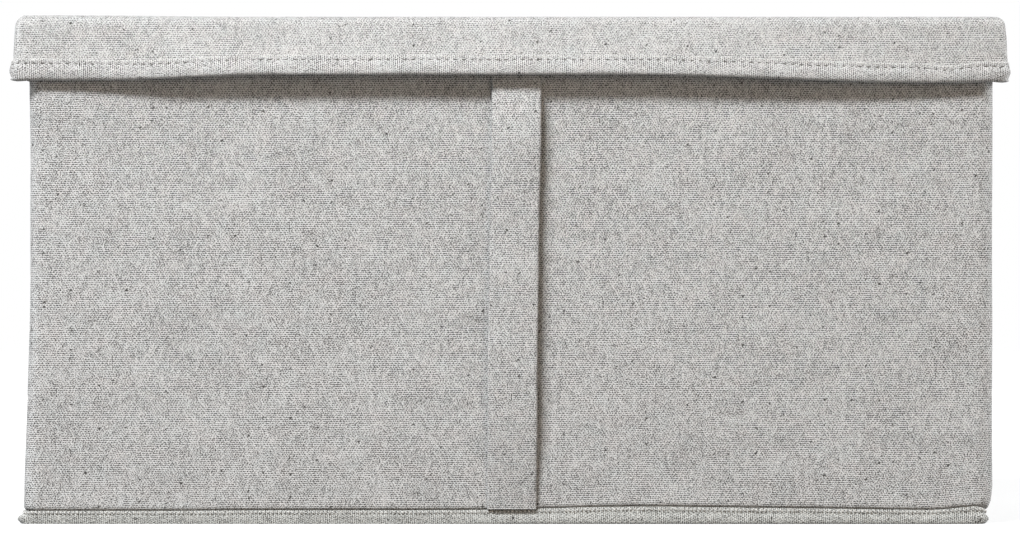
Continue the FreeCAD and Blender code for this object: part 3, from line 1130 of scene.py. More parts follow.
@dataclass
class BaseRidge:
    """Tape folded over the bottom seam, with its bead of loops along the upper edge."""

    finishes: Finishes
    shell: BoxShell
    cloth: float = 0.7 * MM
    shift: float = -3.1 * MM              # the ridge sits this far to one side of the walls
    reach_left: float = 1.8 * MM          # and is this much longer at that side
    splay: Change = Change(2.4 * MM, 6 * MM, 3 * MM)    # its foot spreads past its bead at the left
    splay_right: float = 0.35             # share of that at the right
    heel: Change = Change(1.7 * MM, 2.2 * MM, 0.0)      # and is rounded in underneath there
    groove: float = 0.62 * MM             # how far out the tape is under its bead
    puff_top: float = 4.1 * MM            # it swells up to here
    puff_left: float = 0.12               # swelling at the left of the front
    puff_gain: Change = Change(1.33, -60 * MM, 40 * MM)  # and how much more at its right
    puff_life: Ripple = Ripple(0.10, 45 * MM, 21)
    sway: Ripple = Ripple(0.09 * MM, 30 * MM, 6)
    station_step: float = 2.2 * MM
    corner: float = 6.0 * MM
    bead: StitchRow = StitchRow(2.08 * MM, 1.75 * MM, 0.85 * MM, 0.15, slant=0.95)
    profile: tuple[tuple[float, float], ...] = (
        (-3.6, 7.1), (-3.8, 4.0), (-3.7, 1.3), (-3.0, 0.35), (-1.7, 0.05), (-0.1, 0.02), (0.95, 0.04),
        (1.25, 0.22), (1.38, 0.9), (1.40, 1.9), (1.25, 2.9), (0.95, 3.6), (0.62, 4.05), (0.4, 4.45),
        (0.3, 5.2), (0.28, 5.95), (0.22, 6.55), (0.0, 7.0), (-0.8, 7.0))
    bead_point: tuple[float, float] = (0.84, 5.9)
    first_outer: int = 5                  # first point of the profile on the outer side

    def rail(self) -> Rail:
        """Closed rail on the line of the walls, shifted sideways.

        Returns:
            The rail.
        """
        low, high = self.shell.low, self.shell.high
        rail = rounded_rail((low.x - self.reach_left, low.y), (high.x, high.y), self.corner,
                            self.station_step, True)
        return replace(rail, points=rail.points + np.array([self.shift, 0.0]))

    def height_factor(self, rail: Rail) -> np.ndarray:
        """Height of the ridge at each station against its height elsewhere."""
        rise = self.shell.seam_rise(rail.points[:, 0])
        return 1.0 + rise * rail.facing_front() / self.shell.seam_height

    def puff(self, rail: Rail) -> np.ndarray:
        """How much the tape swells at each station: it lies flat at the left of the front.

        Args:
            rail: Rail of the ridge.

        Returns:
            Swelling at each station, 1 where it is full.
        """
        front = rail.facing_front()
        fuller = self.puff_left + self.puff_gain.at(rail.points[:, 0])
        return (1.0 - front) + front * fuller + self.puff_life.at(rail.run, 0.0)

    def tape(self) -> Object:
        """The folded tape itself.

        Returns:
            The piece.
        """
        rail = self.rail()
        out, up = np.array(self.profile).T * MM
        outer = np.arange(len(out)) >= self.first_outer
        above = np.where(outer & (up < self.puff_top), np.maximum(out - self.groove, 0.0), 0.0)
        puffed = above * (self.puff(rail)[:, None] - 1.0)
        sway = self.sway.at(rail.run[:, None], 2.0 * up) * outer
        sideways, left = rail.outward[:, :1], rail.facing_left()[:, None]
        spread = self.splay.at(up) * np.maximum(-sideways, self.splay_right * sideways) * outer
        heel = self.heel.at(up) * sideways ** 2 * outer
        reach = out + puffed + sway + spread - heel - self.splay.amount * left
        z = np.maximum(up * self.height_factor(rail)[:, None], 0.02 * MM)
        run, along = distance_run(out, up), rail.full_run()
        piece = cloth_object("base_ridge_tape",
                             [grid_patch(rail.surface(reach, z), grid_of(along, run), closed=True)])
        thickened(piece, self.cloth, even=False)
        fit(piece, Body.BOX, self.finishes.base_tape, ["base_binding"])
        return piece

    def beads(self) -> Object:
        """Thread loops that bind the upper edge of the tape.

        Returns:
            The piece.
        """
        rail = self.rail()
        out, up = (value * MM for value in self.bead_point)
        inward = 0.05 * MM + self.splay.amount * rail.facing_left()
        line = seam_line(rail, out - inward, up * self.height_factor(rail))
        return self.bead.sewn("base_ridge_beads", [line], self.finishes.thread, Body.BOX, Slot.TAPE)

    def build(self) -> list[Object]:
        """Builds the ridge."""
        return [self.tape(), self.beads()]


# ------------------------------------------------------------------ strap
@dataclass
class PullStrap:
    """Doubled canvas strap on the front, slack between its two sewn ends."""

    finishes: Finishes
    width: float = 25.4 * MM
    thickness: float = 2.3 * MM
    edge_round: float = 1.1 * MM
    crown: float = 0.35 * MM
    shift: float = 1.2 * MM               # its foot is this far to one side
    drift: Change = Change(2.5 * MM, 60 * MM, 250 * MM)  # and its top this much further
    sway: Ripple = Ripple(0.10 * MM, 26 * MM, 17)
    wander: Ripple = Ripple(0.15 * MM, 60 * MM, 4)
    meeting: float = 120.0 * MM           # height at which its two halves meet
    upper_bend: tuple[float, float] = (245 * MM, 172 * MM)  # from the sewn end to the free part
    lower_bend: tuple[float, float] = (9 * MM, 72 * MM)
    columns: int = 13                     # points across each face
    row_step: float = 2.5 * MM
    samples: int = 200                    # its stand-off is worked out at so many heights
    smoothing: int = 19                   # and evened out over this many of them
    stitch_heights: tuple[float, float] = (244.5 * MM, 248.5 * MM)
    stitch_margin: float = 2.0 * MM
    stitch_points: int = 12               # along each row
    stitch_out: float = 3.15 * MM         # off the wall
    stitch: StitchRow = StitchRow(3.2 * MM, 2.7 * MM, 0.55 * MM)
    face: float = field(default_factory=lambda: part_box("outer_cover")[0].y)
    # Height, and how far the strap's outer face stands off the wall there.
    stand_off: tuple[tuple[float, float], ...] = (
        (7.6, 2.2), (12.0, 2.6), (19.0, 3.4), (29.0, 4.6), (40.0, 6.2), (52.0, 7.6), (75.0, 8.3),
        (100.0, 7.9), (144.0, 7.3), (175.0, 7.7), (196.0, 8.5), (204.0, 8.3), (212.0, 7.1),
        (220.0, 5.4), (227.0, 4.1), (236.0, 3.1), (250.4, 2.8))

    def centre(self, z: np.ndarray) -> np.ndarray:
        """Sideways place of the strap's middle at each height."""
        return self.shift + self.drift.at(z)

    def outer_face(self, heights: np.ndarray) -> np.ndarray:
        """How far the outer face stands off the wall at each height.

        Args:
            heights: Heights to work it out at.

        Returns:
            Distances from the wall.
        """
        height, off = np.array(self.stand_off).T * MM
        fine = np.linspace(height[0], height[-1], self.samples)
        window = np.hanning(self.smoothing)
        smooth = np.convolve(np.pad(np.interp(fine, height, off), self.smoothing // 2, mode="edge"),
                             window / window.sum(), mode="valid")
        return np.interp(heights, fine, smooth)

    def half(self, name: str, z0: float, z1: float) -> Object:
        """One half of the strap's length, with round edges.

        Args:
            name: Name of the piece.
            z0: Lower end.
            z1: Upper end.

        Returns:
            The closed mesh.
        """
        heights = np.linspace(z0, z1, round((z1 - z0) / self.row_step) + 1)
        half_width, bend, rounding = self.width / 2, self.thickness / 2, self.edge_round
        across = np.linspace(-half_width + rounding, half_width - rounding, self.columns)
        flat = np.full(self.columns, bend)
        turn = np.linspace(-math.pi / 2, math.pi / 2, 7)[1:-1]
        ring_x = np.concatenate([across, half_width - rounding + rounding * np.cos(turn),
                                 across[::-1], -half_width + rounding - rounding * np.cos(turn)])
        ring_y = np.concatenate([-flat, bend * np.sin(turn), flat, -bend * np.sin(turn)])
        crown = self.crown * (1.0 - (ring_x / half_width) ** 2)
        middle = self.face - self.outer_face(heights) + bend
        x = ring_x[:, None] + self.centre(heights) + self.wander.at(heights, 0.0)
        y = middle + ring_y[:, None] - crown[:, None] + self.sway.at(ring_x[:, None], heights)
        points = np.stack([x, y, np.broadcast_to(heights, x.shape)], axis=-1)
        ring_run = distance_run(np.append(ring_x, ring_x[0]), np.append(ring_y, ring_y[0]))
        patch = grid_patch(points, grid_of(ring_run + 0.3, heights), closed=True)
        piece = cloth_object(name, [patch])
        with opened(piece.data) as work:
            caps = [edge for edge in work.edges if edge.is_boundary]
            bmesh.ops.holes_fill(work, edges=caps, sides=0)
            for edge in caps:
                edge.smooth = False
            bmesh.ops.recalc_face_normals(work, faces=work.faces)
        return piece

    def build(self) -> list[Object]:
        """Builds both halves and the stitches across the strap's upper end.

        Returns:
            The pieces.
        """
        top, foot = self.stand_off[-1][0] * MM, self.stand_off[0][0] * MM
        made = []
        for name, z0, z1, (fixed, free), nodes in (
                ("strap_upper", self.meeting, top, self.upper_bend, ["strap_top_end", "strap_grip"]),
                ("strap_lower", foot, self.meeting, self.lower_bend, ["strap_bottom_end"])):
            piece = self.half(name, z0, z1)
            piece.data.materials.append(self.finishes.canvas)
            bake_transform(piece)
            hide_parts(*nodes)
            log.info("%s: %d faces", piece.name, len(piece.data.polygons))
            made.append(piece)
        return [*made, self.end_stitches()]

    def end_stitches(self) -> Object:
        """Two rows of stitches across the strap's upper end, under the lid's skirt.

        Returns:
            The piece.
        """
        reach = self.width / 2 - self.stitch_margin
        x = np.linspace(-reach, reach, self.stitch_points) + self.shift + self.drift.amount
        y = np.full(self.stitch_points, self.face - self.stitch_out)
        lines = [np.column_stack([x, y, np.full(self.stitch_points, z)])
                 for z in self.stitch_heights]
        return self.stitch.sewn("strap_end_stitches", lines, self.finishes.thread, Body.BOX,
                                Slot.CANVAS)


# ------------------------------------------------------------------ lid
@dataclass
class Lid:
    """Canvas lid with a soft top edge, a flared and bowed skirt, taped hem and lining."""

    finishes: Finishes
    canvas: float = 1.1 * MM
    overhang: float = 7.0 * MM
    edge_round: float = 6.0 * MM
    corner: float = 6.0 * MM
    flare_left: float = 1.6 * MM
    flare_right: float = 0.2 * MM
    full_right: float = 0.7 * MM
    side_shift: float = 0.2 * MM
    front_flare: float = 0.4 * MM
    bow: float = 5.4 * MM
    bow_reach_left: float = 130.0 * MM    # it bows out over this stretch from its left corner
    bow_reach_right: float = 165.0 * MM
    board_bow: float = 4.4 * MM           # bow of the stiffener inside it
    hem_front: float = 229.2 * MM
    hem_drops: tuple[Change, ...] = (     # towards the corners, by place along the front
        Change(2.7 * MM, -120 * MM, -210 * MM), Change(4.0 * MM, 60 * MM, 215 * MM),
        Change(-0.5 * MM, 222 * MM, 247 * MM))
    hem_back: Change = Change(1.0, -8 * MM, 125 * MM)   # share of the way to the back
    hem_rise_back: float = 1.0 * MM
    crest: Change = Change(0.7 * MM, -130 * MM, -230 * MM)  # the top is proud near its left corner
    crest_depth: Change = Change(1.0, 120 * MM, 20 * MM)
    dish: float = 0.05 * MM
    dish_sway: Ripple = Ripple(0.07 * MM, 120 * MM, 13)
    skirt_sway: Ripple = Ripple(0.22 * MM, 55 * MM, 31)
    top_sag: float = 0.9 * MM
    tape_cloth: float = 0.8 * MM
    tape_inside: float = 3.9 * MM         # this far in the tape follows the stiffener
    # On the sides the tape is drawn in below its fullest line, and lies flatter at its upper edge.
    tape_drawn_low: Change = Change(1.1 * MM, 5 * MM, 1 * MM)
    tape_drawn_top: Change = Change(0.2 * MM, 7 * MM, 9 * MM)
    tape_climb: Change = Change(0.8 * MM, -180 * MM, -235 * MM)
    tape_dip: Swell = Swell(1.5 * MM, 223 * MM, 9 * MM)
    tape_stray: Ripple = Ripple(0.18 * MM, 55 * MM, 9)
    tape_stray_share: Change = Change(1.0, 3 * MM, 8 * MM)
    tape_bulge: Ripple = Ripple(0.11, 42 * MM, 23)
    tape_bulge_share: Change = Change(1.0, 8 * MM, 6 * MM)
    tape_crumple: Ripple = Ripple(0.06 * MM, 11 * MM, 27)
    stitch_pull: tuple[float, float] = (0.02 * MM, 0.35 * MM)  # between stitches, and more at each
    stitch_reach: float = 0.55 * MM       # height over which they pull
    lining_cloth: float = 0.5 * MM
    lining_inset: float = 2.9 * MM
    facing_cloth: float = 0.2 * MM
    skirt_rows: int = 12
    station_step: float = 6.0 * MM
    wall: Vector = field(default_factory=lambda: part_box("outer_cover")[0])
    top: float = field(default_factory=lambda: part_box("hinge_strip")[1].z)
    hinge_y: float = field(default_factory=lambda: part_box("hinge_strip")[1].y)
    back: float = field(default_factory=lambda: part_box("lid_cover")[1].y)
    stitch: StitchRow = StitchRow(4.3 * MM, 2.2 * MM, 0.55 * MM, 0.25)
    bead: StitchRow = StitchRow(2.08 * MM, 1.4 * MM, 0.6 * MM, 0.25)
    tape_profile: tuple[tuple[float, float], ...] = (
        (-3.85, 9.6), (-4.05, 6.0), (-4.1, 2.6), (-3.7, 0.9), (-2.7, 0.1), (-1.0, -0.1), (0.15, 0.1),
        (0.85, 0.5), (1.3, 1.3), (1.6, 2.6), (1.75, 4.2), (1.7, 5.4), (1.5, 6.4), (1.25, 7.1),
        (1.12, 7.5), (1.08, 7.8), (1.06, 8.2), (1.06, 8.7), (1.02, 9.3), (0.8, 9.8), (0.2, 10.05),
        (-0.4, 10.0))
    stitch_row_height: float = 7.7 * MM
    bead_row_height: float = 9.35 * MM

    def rail(self, inset: float, step: float) -> Rail:
        """Open rail round the lid's sides and front at the top, moved in by inset.

        Args:
            inset: Distance in from the lid's outer face.
            step: Distance between stations.

        Returns:
            The rail.
        """
        side = -self.wall.x + self.overhang - inset
        front = self.wall.y - self.overhang + inset
        return rounded_rail((self.side_shift - side, front), (self.side_shift + side, self.back),
                            self.corner - inset, step, False)

    def hem(self, rail: Rail) -> np.ndarray:
        """Height of the hem at each station: level in the middle, lower towards the corners.

        Args:
            rail: Rail of the skirt.

        Returns:
            Height at each station.
        """
        x, behind = rail.points[:, 0], rail.points[:, 1] - self.wall.y
        drop, back = sum(part.at(x) for part in self.hem_drops), self.hem_back.at(behind)
        return self.hem_front - drop * (1.0 - back) + self.hem_rise_back * back

    def skirt_out(self, rail: Rail, z: np.ndarray, even_bow: bool) -> np.ndarray:
        """How far the skirt stands out from the rail at heights z.

        Args:
            rail: Rail of the skirt.
            z: Heights, stations by rows.
            even_bow: True for the canvas, which bows out evenly and is fuller at the right;
                False for what follows the stiffener.

        Returns:
            Distances, stations by rows.
        """
        fall = (self.top - self.edge_round - z) / (self.top - self.edge_round - self.hem_front)
        fall = np.clip(fall, 0.0, 1.15)
        x = rail.points[:, :1]
        half = float(np.abs(x).max()) - self.corner
        if even_bow:
            bow = self.bow * (ease(x, -half, self.bow_reach_left - half)
                              * ease(x, half, half - self.bow_reach_right))
        else:
            bow = self.board_bow * np.clip(1.0 - (x / half) ** 2, 0.0, 1.0)
        left, right = (np.clip(way * rail.outward[:, :1], 0.0, 1.0) ** 2 for way in (-1.0, 1.0))
        front = rail.outward[:, 1:2] ** 2
        full = self.full_right * ease(fall, 0.0, 0.25) if even_bow else 0.0
        return (fall * (left * self.flare_left + front * (self.front_flare + bow))
                + right * (full + self.flare_right * fall))

    def hood(self, name: str, inset: float, ceiling: float, rounding: float, lowest: np.ndarray,
             even_bow: bool, far: float, flip: bool, liveliness: float) -> Object:
        """Skirt, soft edge and flat top in one surface.

        Args:
            name: Name of the piece.
            inset: Distance in from the lid's outer face.
            ceiling: Height of the flat part.
            rounding: Radius between the skirt and the flat part.
            lowest: Lower edge at each station.
            even_bow: Passed on to skirt_out.
            far: Where the flat part ends at the back.
            flip: Whether the faces look inwards.
            liveliness: Share of the canvas's unevenness.

        Returns:
            The object, still without thickness.
        """
        rail = self.rail(inset, self.station_step)
        radius = self.corner - inset
        turn = np.linspace(0.0, math.pi / 2, 7)[1:]
        shoulder = ceiling - rounding
        share = np.linspace(0.0, 1.0, self.skirt_rows)
        z_skirt = lowest[:, None] + (shoulder - lowest[:, None]) * share
        crest = self.proud(rail.points[:, :1], rail.points[:, 1:2]) * liveliness
        z_roll = shoulder + (rounding + crest) * np.sin(turn)
        z = np.concatenate([z_skirt, z_roll, ceiling + crest], axis=1)
        out = np.concatenate([np.zeros(self.skirt_rows), -rounding + rounding * np.cos(turn),
                              [-radius]])
        sway = self.skirt_sway.at(rail.run[:, None], 1.6 * z)
        sway = sway * ease(z, self.top - 1 * MM, self.top - 12 * MM) * liveliness
        reach = out + self.skirt_out(rail, z, even_bow) + sway
        reach[:, -1] = -radius
        points = rail.surface(reach, z)

        fold = np.linalg.norm(np.diff(points, axis=1), axis=2)
        below = np.pad(np.cumsum(fold[:, ::-1], axis=1)[:, ::-1], ((0, 0), (0, 1)))
        cloth = self.folded_map(rail, points, below, radius)

        straight = np.abs(rail.outward).max(axis=1) > 1.0 - 1e-9
        side_y = rail.points[straight & (rail.outward[:, 0] < -0.5), 1][::-1]
        front_x = rail.points[straight & (rail.outward[:, 1] < -0.5), 0]
        inner_front = rail.points[:, 1].min() + radius

        def fitted(y: np.ndarray) -> np.ndarray:
            """Depths stretched so that the flat part ends where it should."""
            return inner_front + (y - side_y[0]) * (far - inner_front) / (side_y[-1] - side_y[0])

        grid_x, grid_y = np.meshgrid(front_x, fitted(side_y), indexing="ij")
        points[:, -1, 1] = np.clip(fitted(points[:, -1, 1]), inner_front, far)
        points[:, -1, 2] = ceiling + self.proud(points[:, -1, 0], points[:, -1, 1]) * liveliness
        slack = (self.unlevel(grid_x, grid_y, far) + self.proud(grid_x, grid_y)) * liveliness
        panel = np.stack([grid_x, grid_y, ceiling + slack], axis=-1)
        patches = [self.skirt_patch(points, cloth, rail, flip),
                   grid_patch(panel, panel[:, :, :2], flip=flip)]
        return cloth_object(name, patches, weld=0.03 * MM)

    def folded_map(self, rail: Rail, points: np.ndarray, below: np.ndarray,
                   radius: float) -> np.ndarray:
        """Cloth coordinates of the skirt as one piece with the top, folded down on each side.

        Args:
            rail: Rail of the skirt.
            points: Its points, stations by rows.
            below: Length from each point up to the flat part.
            radius: Distance from the skirt to the flat part.

        Returns:
            For the side flaps and the front flap, coordinates of every point.
        """
        inner = points[:, -1:, :2]
        side = np.stack([inner[:, :, 0] + np.sign(rail.points[:, :1]) * below,
                         np.broadcast_to(rail.points[:, 1:2], below.shape)], axis=-1)
        front = np.stack([np.broadcast_to(rail.points[:, :1], below.shape),
                          rail.points[:, 1].min() + radius - below], axis=-1)
        return np.stack([side, front])

    def skirt_patch(self, points: np.ndarray, cloth: np.ndarray, rail: Rail,
                    flip: bool) -> ClothPatch:
        """Skirt whose cloth coordinates change flap in the middle of each corner.

        Args:
            points: Its points, stations by rows.
            cloth: Coordinates of the side flaps and of the front flap.
            rail: Rail of the skirt.
            flip: Whether the faces look inwards.

        Returns:
            The patch.
        """
        patch = grid_patch(points, cloth[1], flip=flip)
        other = grid_patch(points, cloth[0], flip=flip)
        rows = points.shape[1] - 1
        facing = np.abs(rail.outward[:-1, 0]) + np.abs(rail.outward[1:, 0])
        side_span = np.repeat(facing > math.sqrt(2.0), rows * 4)
        patch.cloth = np.where(side_span[:, None], other.cloth, patch.cloth)
        return patch

    def unlevel(self, x: np.ndarray, y: np.ndarray, far: float) -> np.ndarray:
        """How far the top lies off level: slightly dished, never proud at its borders.

        Args:
            x: Places sideways.
            y: Places in depth.
            far: Where the top ends at the back.

        Returns:
            Height at each place, against the level.
        """
        near = self.wall.y - self.overhang + self.corner
        half = float(np.abs(x).max())
        inside = np.clip(np.sin(math.pi * (y - near) / (far - near)), 0.0, 1.0)
        return (1.0 - (x / half) ** 4) * inside * (self.dish_sway.at(x, y) - self.dish)

    def proud(self, x: np.ndarray, y: np.ndarray) -> np.ndarray:
        """How far the top stands over its level near the left front corner."""
        return self.crest.at(x) * self.crest_depth.at(y - self.wall.y)

    def cover(self) -> Object:
        """Canvas over the top and down the skirt.

        Returns:
            The piece.
        """
        rail = self.rail(0.0, self.station_step)
        piece = self.hood("lid_canvas", 0.0, self.top - self.top_sag, self.edge_round - 0.4 * MM,
                          self.hem(rail) + 1.0 * MM, True, self.hinge_y - 0.65 * MM, False, 1.0)
        thickened(piece, self.canvas)
        fit(piece, Body.LID, self.finishes.lid_canvas, ["lid_cover"])
        return piece

    def inner_lining(self) -> Object:
        """Lining under the lid board and down the inside of the skirt.

        Returns:
            The piece.
        """
        rail = self.rail(self.lining_inset, self.station_step)
        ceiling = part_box("lid_board")[0].z - 0.6 * MM
        piece = self.hood("lid_inner_lining", self.lining_inset, ceiling, 2.6 * MM,
                          self.hem(rail) + 2.0 * MM, False, self.back, True, 0.25)
        thickened(piece, self.lining_cloth)
        fit(piece, Body.LID, self.finishes.lining, ["lid_lining"])
        return piece

    def tape_line(self, rail: Rail, height: float, out: float) -> np.ndarray:
        """Line on the outer face of the tape, so high above the hem and so far out.

        Args:
            rail: Rail of the skirt.
            height: Height above the hem.
            out: Distance out from the skirt.

        Returns:
            Points of the line.
        """
        z = self.hem(rail)[:, None] + height + self.edge_wander(rail)[:, None]
        drawn = self.tape_drawn_top.at(height) * rail.outward[:, 0] ** 2
        return seam_line(rail, self.skirt_out(rail, z, True)[:, 0] + out - drawn, z[:, 0])

    def edge_wander(self, rail: Rail) -> np.ndarray:
        """How far the upper edge of the tape strays: it climbs at the left, dips near the right.

        Args:
            rail: Rail of the skirt.

        Returns:
            How far up it strays at each station.
        """
        x = rail.points[:, 0]
        front = (self.tape_climb.at(x) - self.tape_dip.at(x)) * rail.facing_front()
        return front + self.tape_stray.at(rail.run, 0.0)

    def tape(self) -> Object:
        """Tape folded over the hem, swelling between its stitches and the fold.

        Returns:
            The piece.
        """
        rail = self.rail(0.0, self.stitch.pitch / 4)
        out, height = np.array(self.tape_profile).T * MM
        stray = self.edge_wander(rail)[:, None] * self.tape_stray_share.at(height)
        z = self.hem(rail)[:, None] + height + stray
        outer = (out > 0.0) & (height > 0.5 * MM)

        # Each stitch pulls the tape in, most in the middle of the stitch.
        line = self.tape_line(rail, self.stitch_row_height, 0.4 * MM)
        sewn = np.concatenate([[0.0], np.cumsum(np.linalg.norm(np.diff(line, axis=0), axis=1))])
        pace = (self.stitch.count(line) - 1) / sewn[-1]
        pinch = (0.5 - 0.5 * np.cos(2.0 * math.pi * sewn * pace))[:, None] ** 3
        near_row = Swell(1.0, self.stitch_row_height, self.stitch_reach).at(height) * outer
        between, more = self.stitch_pull
        pull = (between + more * pinch) * near_row

        # Between the stitches and the fold it swells unevenly and crumples a little.
        bulge = self.tape_bulge.at(rail.run, 0.0)[:, None] * self.tape_bulge_share.at(height)
        swell = np.where(outer, 1.0 + bulge, 1.0)
        crumple = self.tape_crumple.at(rail.run[:, None], 1.5 * height) * outer
        drawn = rail.outward[:, :1] ** 2 * outer * (
            self.tape_drawn_low.at(height) + self.tape_drawn_top.at(height))

        # Outside it follows the canvas, inside the stiffener.
        inner_share = np.clip(-out / self.tape_inside, 0.0, 1.0)
        skirt = (self.skirt_out(rail, z, True) * (1.0 - inner_share)
                 + self.skirt_out(rail, z, False) * inner_share)
        points = rail.surface(out * swell + crumple - pull - drawn + skirt, z)
        run = distance_run(out, height)
        piece = cloth_object("lid_hem_tape", [grid_patch(points, grid_of(rail.run, run))])
        thickened(piece, self.tape_cloth, even=False)
        fit(piece, Body.LID, self.finishes.lid_tape, ["lid_binding"])
        return piece

    def threads(self) -> list[Object]:
        """Lockstitches along the tape and the bead of loops on its upper edge.

        Returns:
            The pieces.
        """
        rail = self.rail(0.0, self.stitch.pitch / 4)
        row = self.tape_line(rail, self.stitch_row_height, 1.0 * MM)
        beads = self.tape_line(rail, self.bead_row_height, 0.85 * MM)
        # The lockstitches take the darker thread, whose colour is painted shade.
        return [kind.sewn(name, [line], thread, Body.LID, Slot.TAPE)
                for kind, name, line, thread in (
                    (self.stitch, "lid_tape_stitches", row, self.finishes.sunk_thread),
                    (self.bead, "lid_tape_beads", beads, self.finishes.thread))]

    def back_facing(self) -> Object:
        """Narrow facing that covers the lid board's rear edge.

        Returns:
            The piece.
        """
        half = -self.wall.x + 1 * MM
        x = np.linspace(half, -half, 40)
        z = np.array([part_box("lid_board")[0].z - 0.55 * MM, self.top - self.top_sag - 0.7 * MM])
        cloth = grid_of(x, z)
        points = np.insert(cloth, 1, self.back + 0.25 * MM, axis=2)
        piece = cloth_object("lid_back_facing", [grid_patch(points, cloth)])
        thickened(piece, self.facing_cloth)
        return fit(piece, Body.LID, self.finishes.lid_canvas)

    def build(self) -> list[Object]:
        """Builds every piece of the lid."""
        return [self.cover(), self.inner_lining(), self.tape(), *self.threads(), self.back_facing()]


@dataclass
class HingeCloth:
    """Cloth sewn to the back wall, whose rolled top edge is the crease that the lid turns on."""

    finishes: Finishes
    roll: float = 0.85 * MM
    thickness: float = 0.8 * MM
    stations: int = 70
    wall_rows: int = 9
    roll_rows: int = 12
    roll_turn: float = 1.6 * math.pi
    roll_centre: tuple[float, float] = (0.35 * MM, 0.55 * MM)  # in and down from the strip's edge
    stitch_heights: tuple[float, float] = (3 * MM, 33 * MM)
    sway: Ripple = Ripple(0.10 * MM, 50 * MM, 14)
    free_share: Change = Change(1.0, 2 * MM, 8 * MM)    # the rolled edge is straight
    low: Vector = field(default_factory=lambda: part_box("hinge_strip")[0])
    high: Vector = field(default_factory=lambda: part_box("hinge_strip")[1])

    def build(self) -> list[Object]:
        """Builds the strip and its two rows of stitches.

        Returns:
            The pieces.
        """
        x = np.linspace(self.high.x, self.low.x, self.stations)
        inward, down = self.roll_centre
        centre_y, centre_z = self.high.y - inward, self.high.z - down
        turn = np.linspace(0.0, self.roll_turn, self.roll_rows)
        wall = np.linspace(self.low.z, centre_z - 1.5 * MM, self.wall_rows)
        y = np.append(np.full(self.wall_rows, self.high.y - 0.05 * MM),
                      centre_y + self.roll * np.cos(turn))
        z = np.append(wall, centre_z + self.roll * np.sin(turn))
        sway = np.maximum(self.sway.at(x[:, None], z), -0.05 * MM)
        sway = sway * self.free_share.at(self.high.z - z)
        points = np.stack([np.broadcast_to(x[:, None], sway.shape), y + sway,
                           np.broadcast_to(z, sway.shape)], axis=-1)
        run = distance_run(y, z)
        piece = cloth_object("hinge_cloth", [grid_patch(points, grid_of(-x, run))])
        thickened(piece, self.thickness)
        fit(piece, Body.BOX, self.finishes.canvas, ["hinge_strip"])
        face = np.full(self.stations, self.high.y + 0.05 * MM)
        lines = [np.column_stack([x, face, np.full(self.stations, self.low.z + height)])
                 for height in self.stitch_heights]
        return [piece, PLAIN_SEAM.sewn("hinge_stitches", lines, self.finishes.thread, Body.BOX,
                                       Slot.CANVAS)]


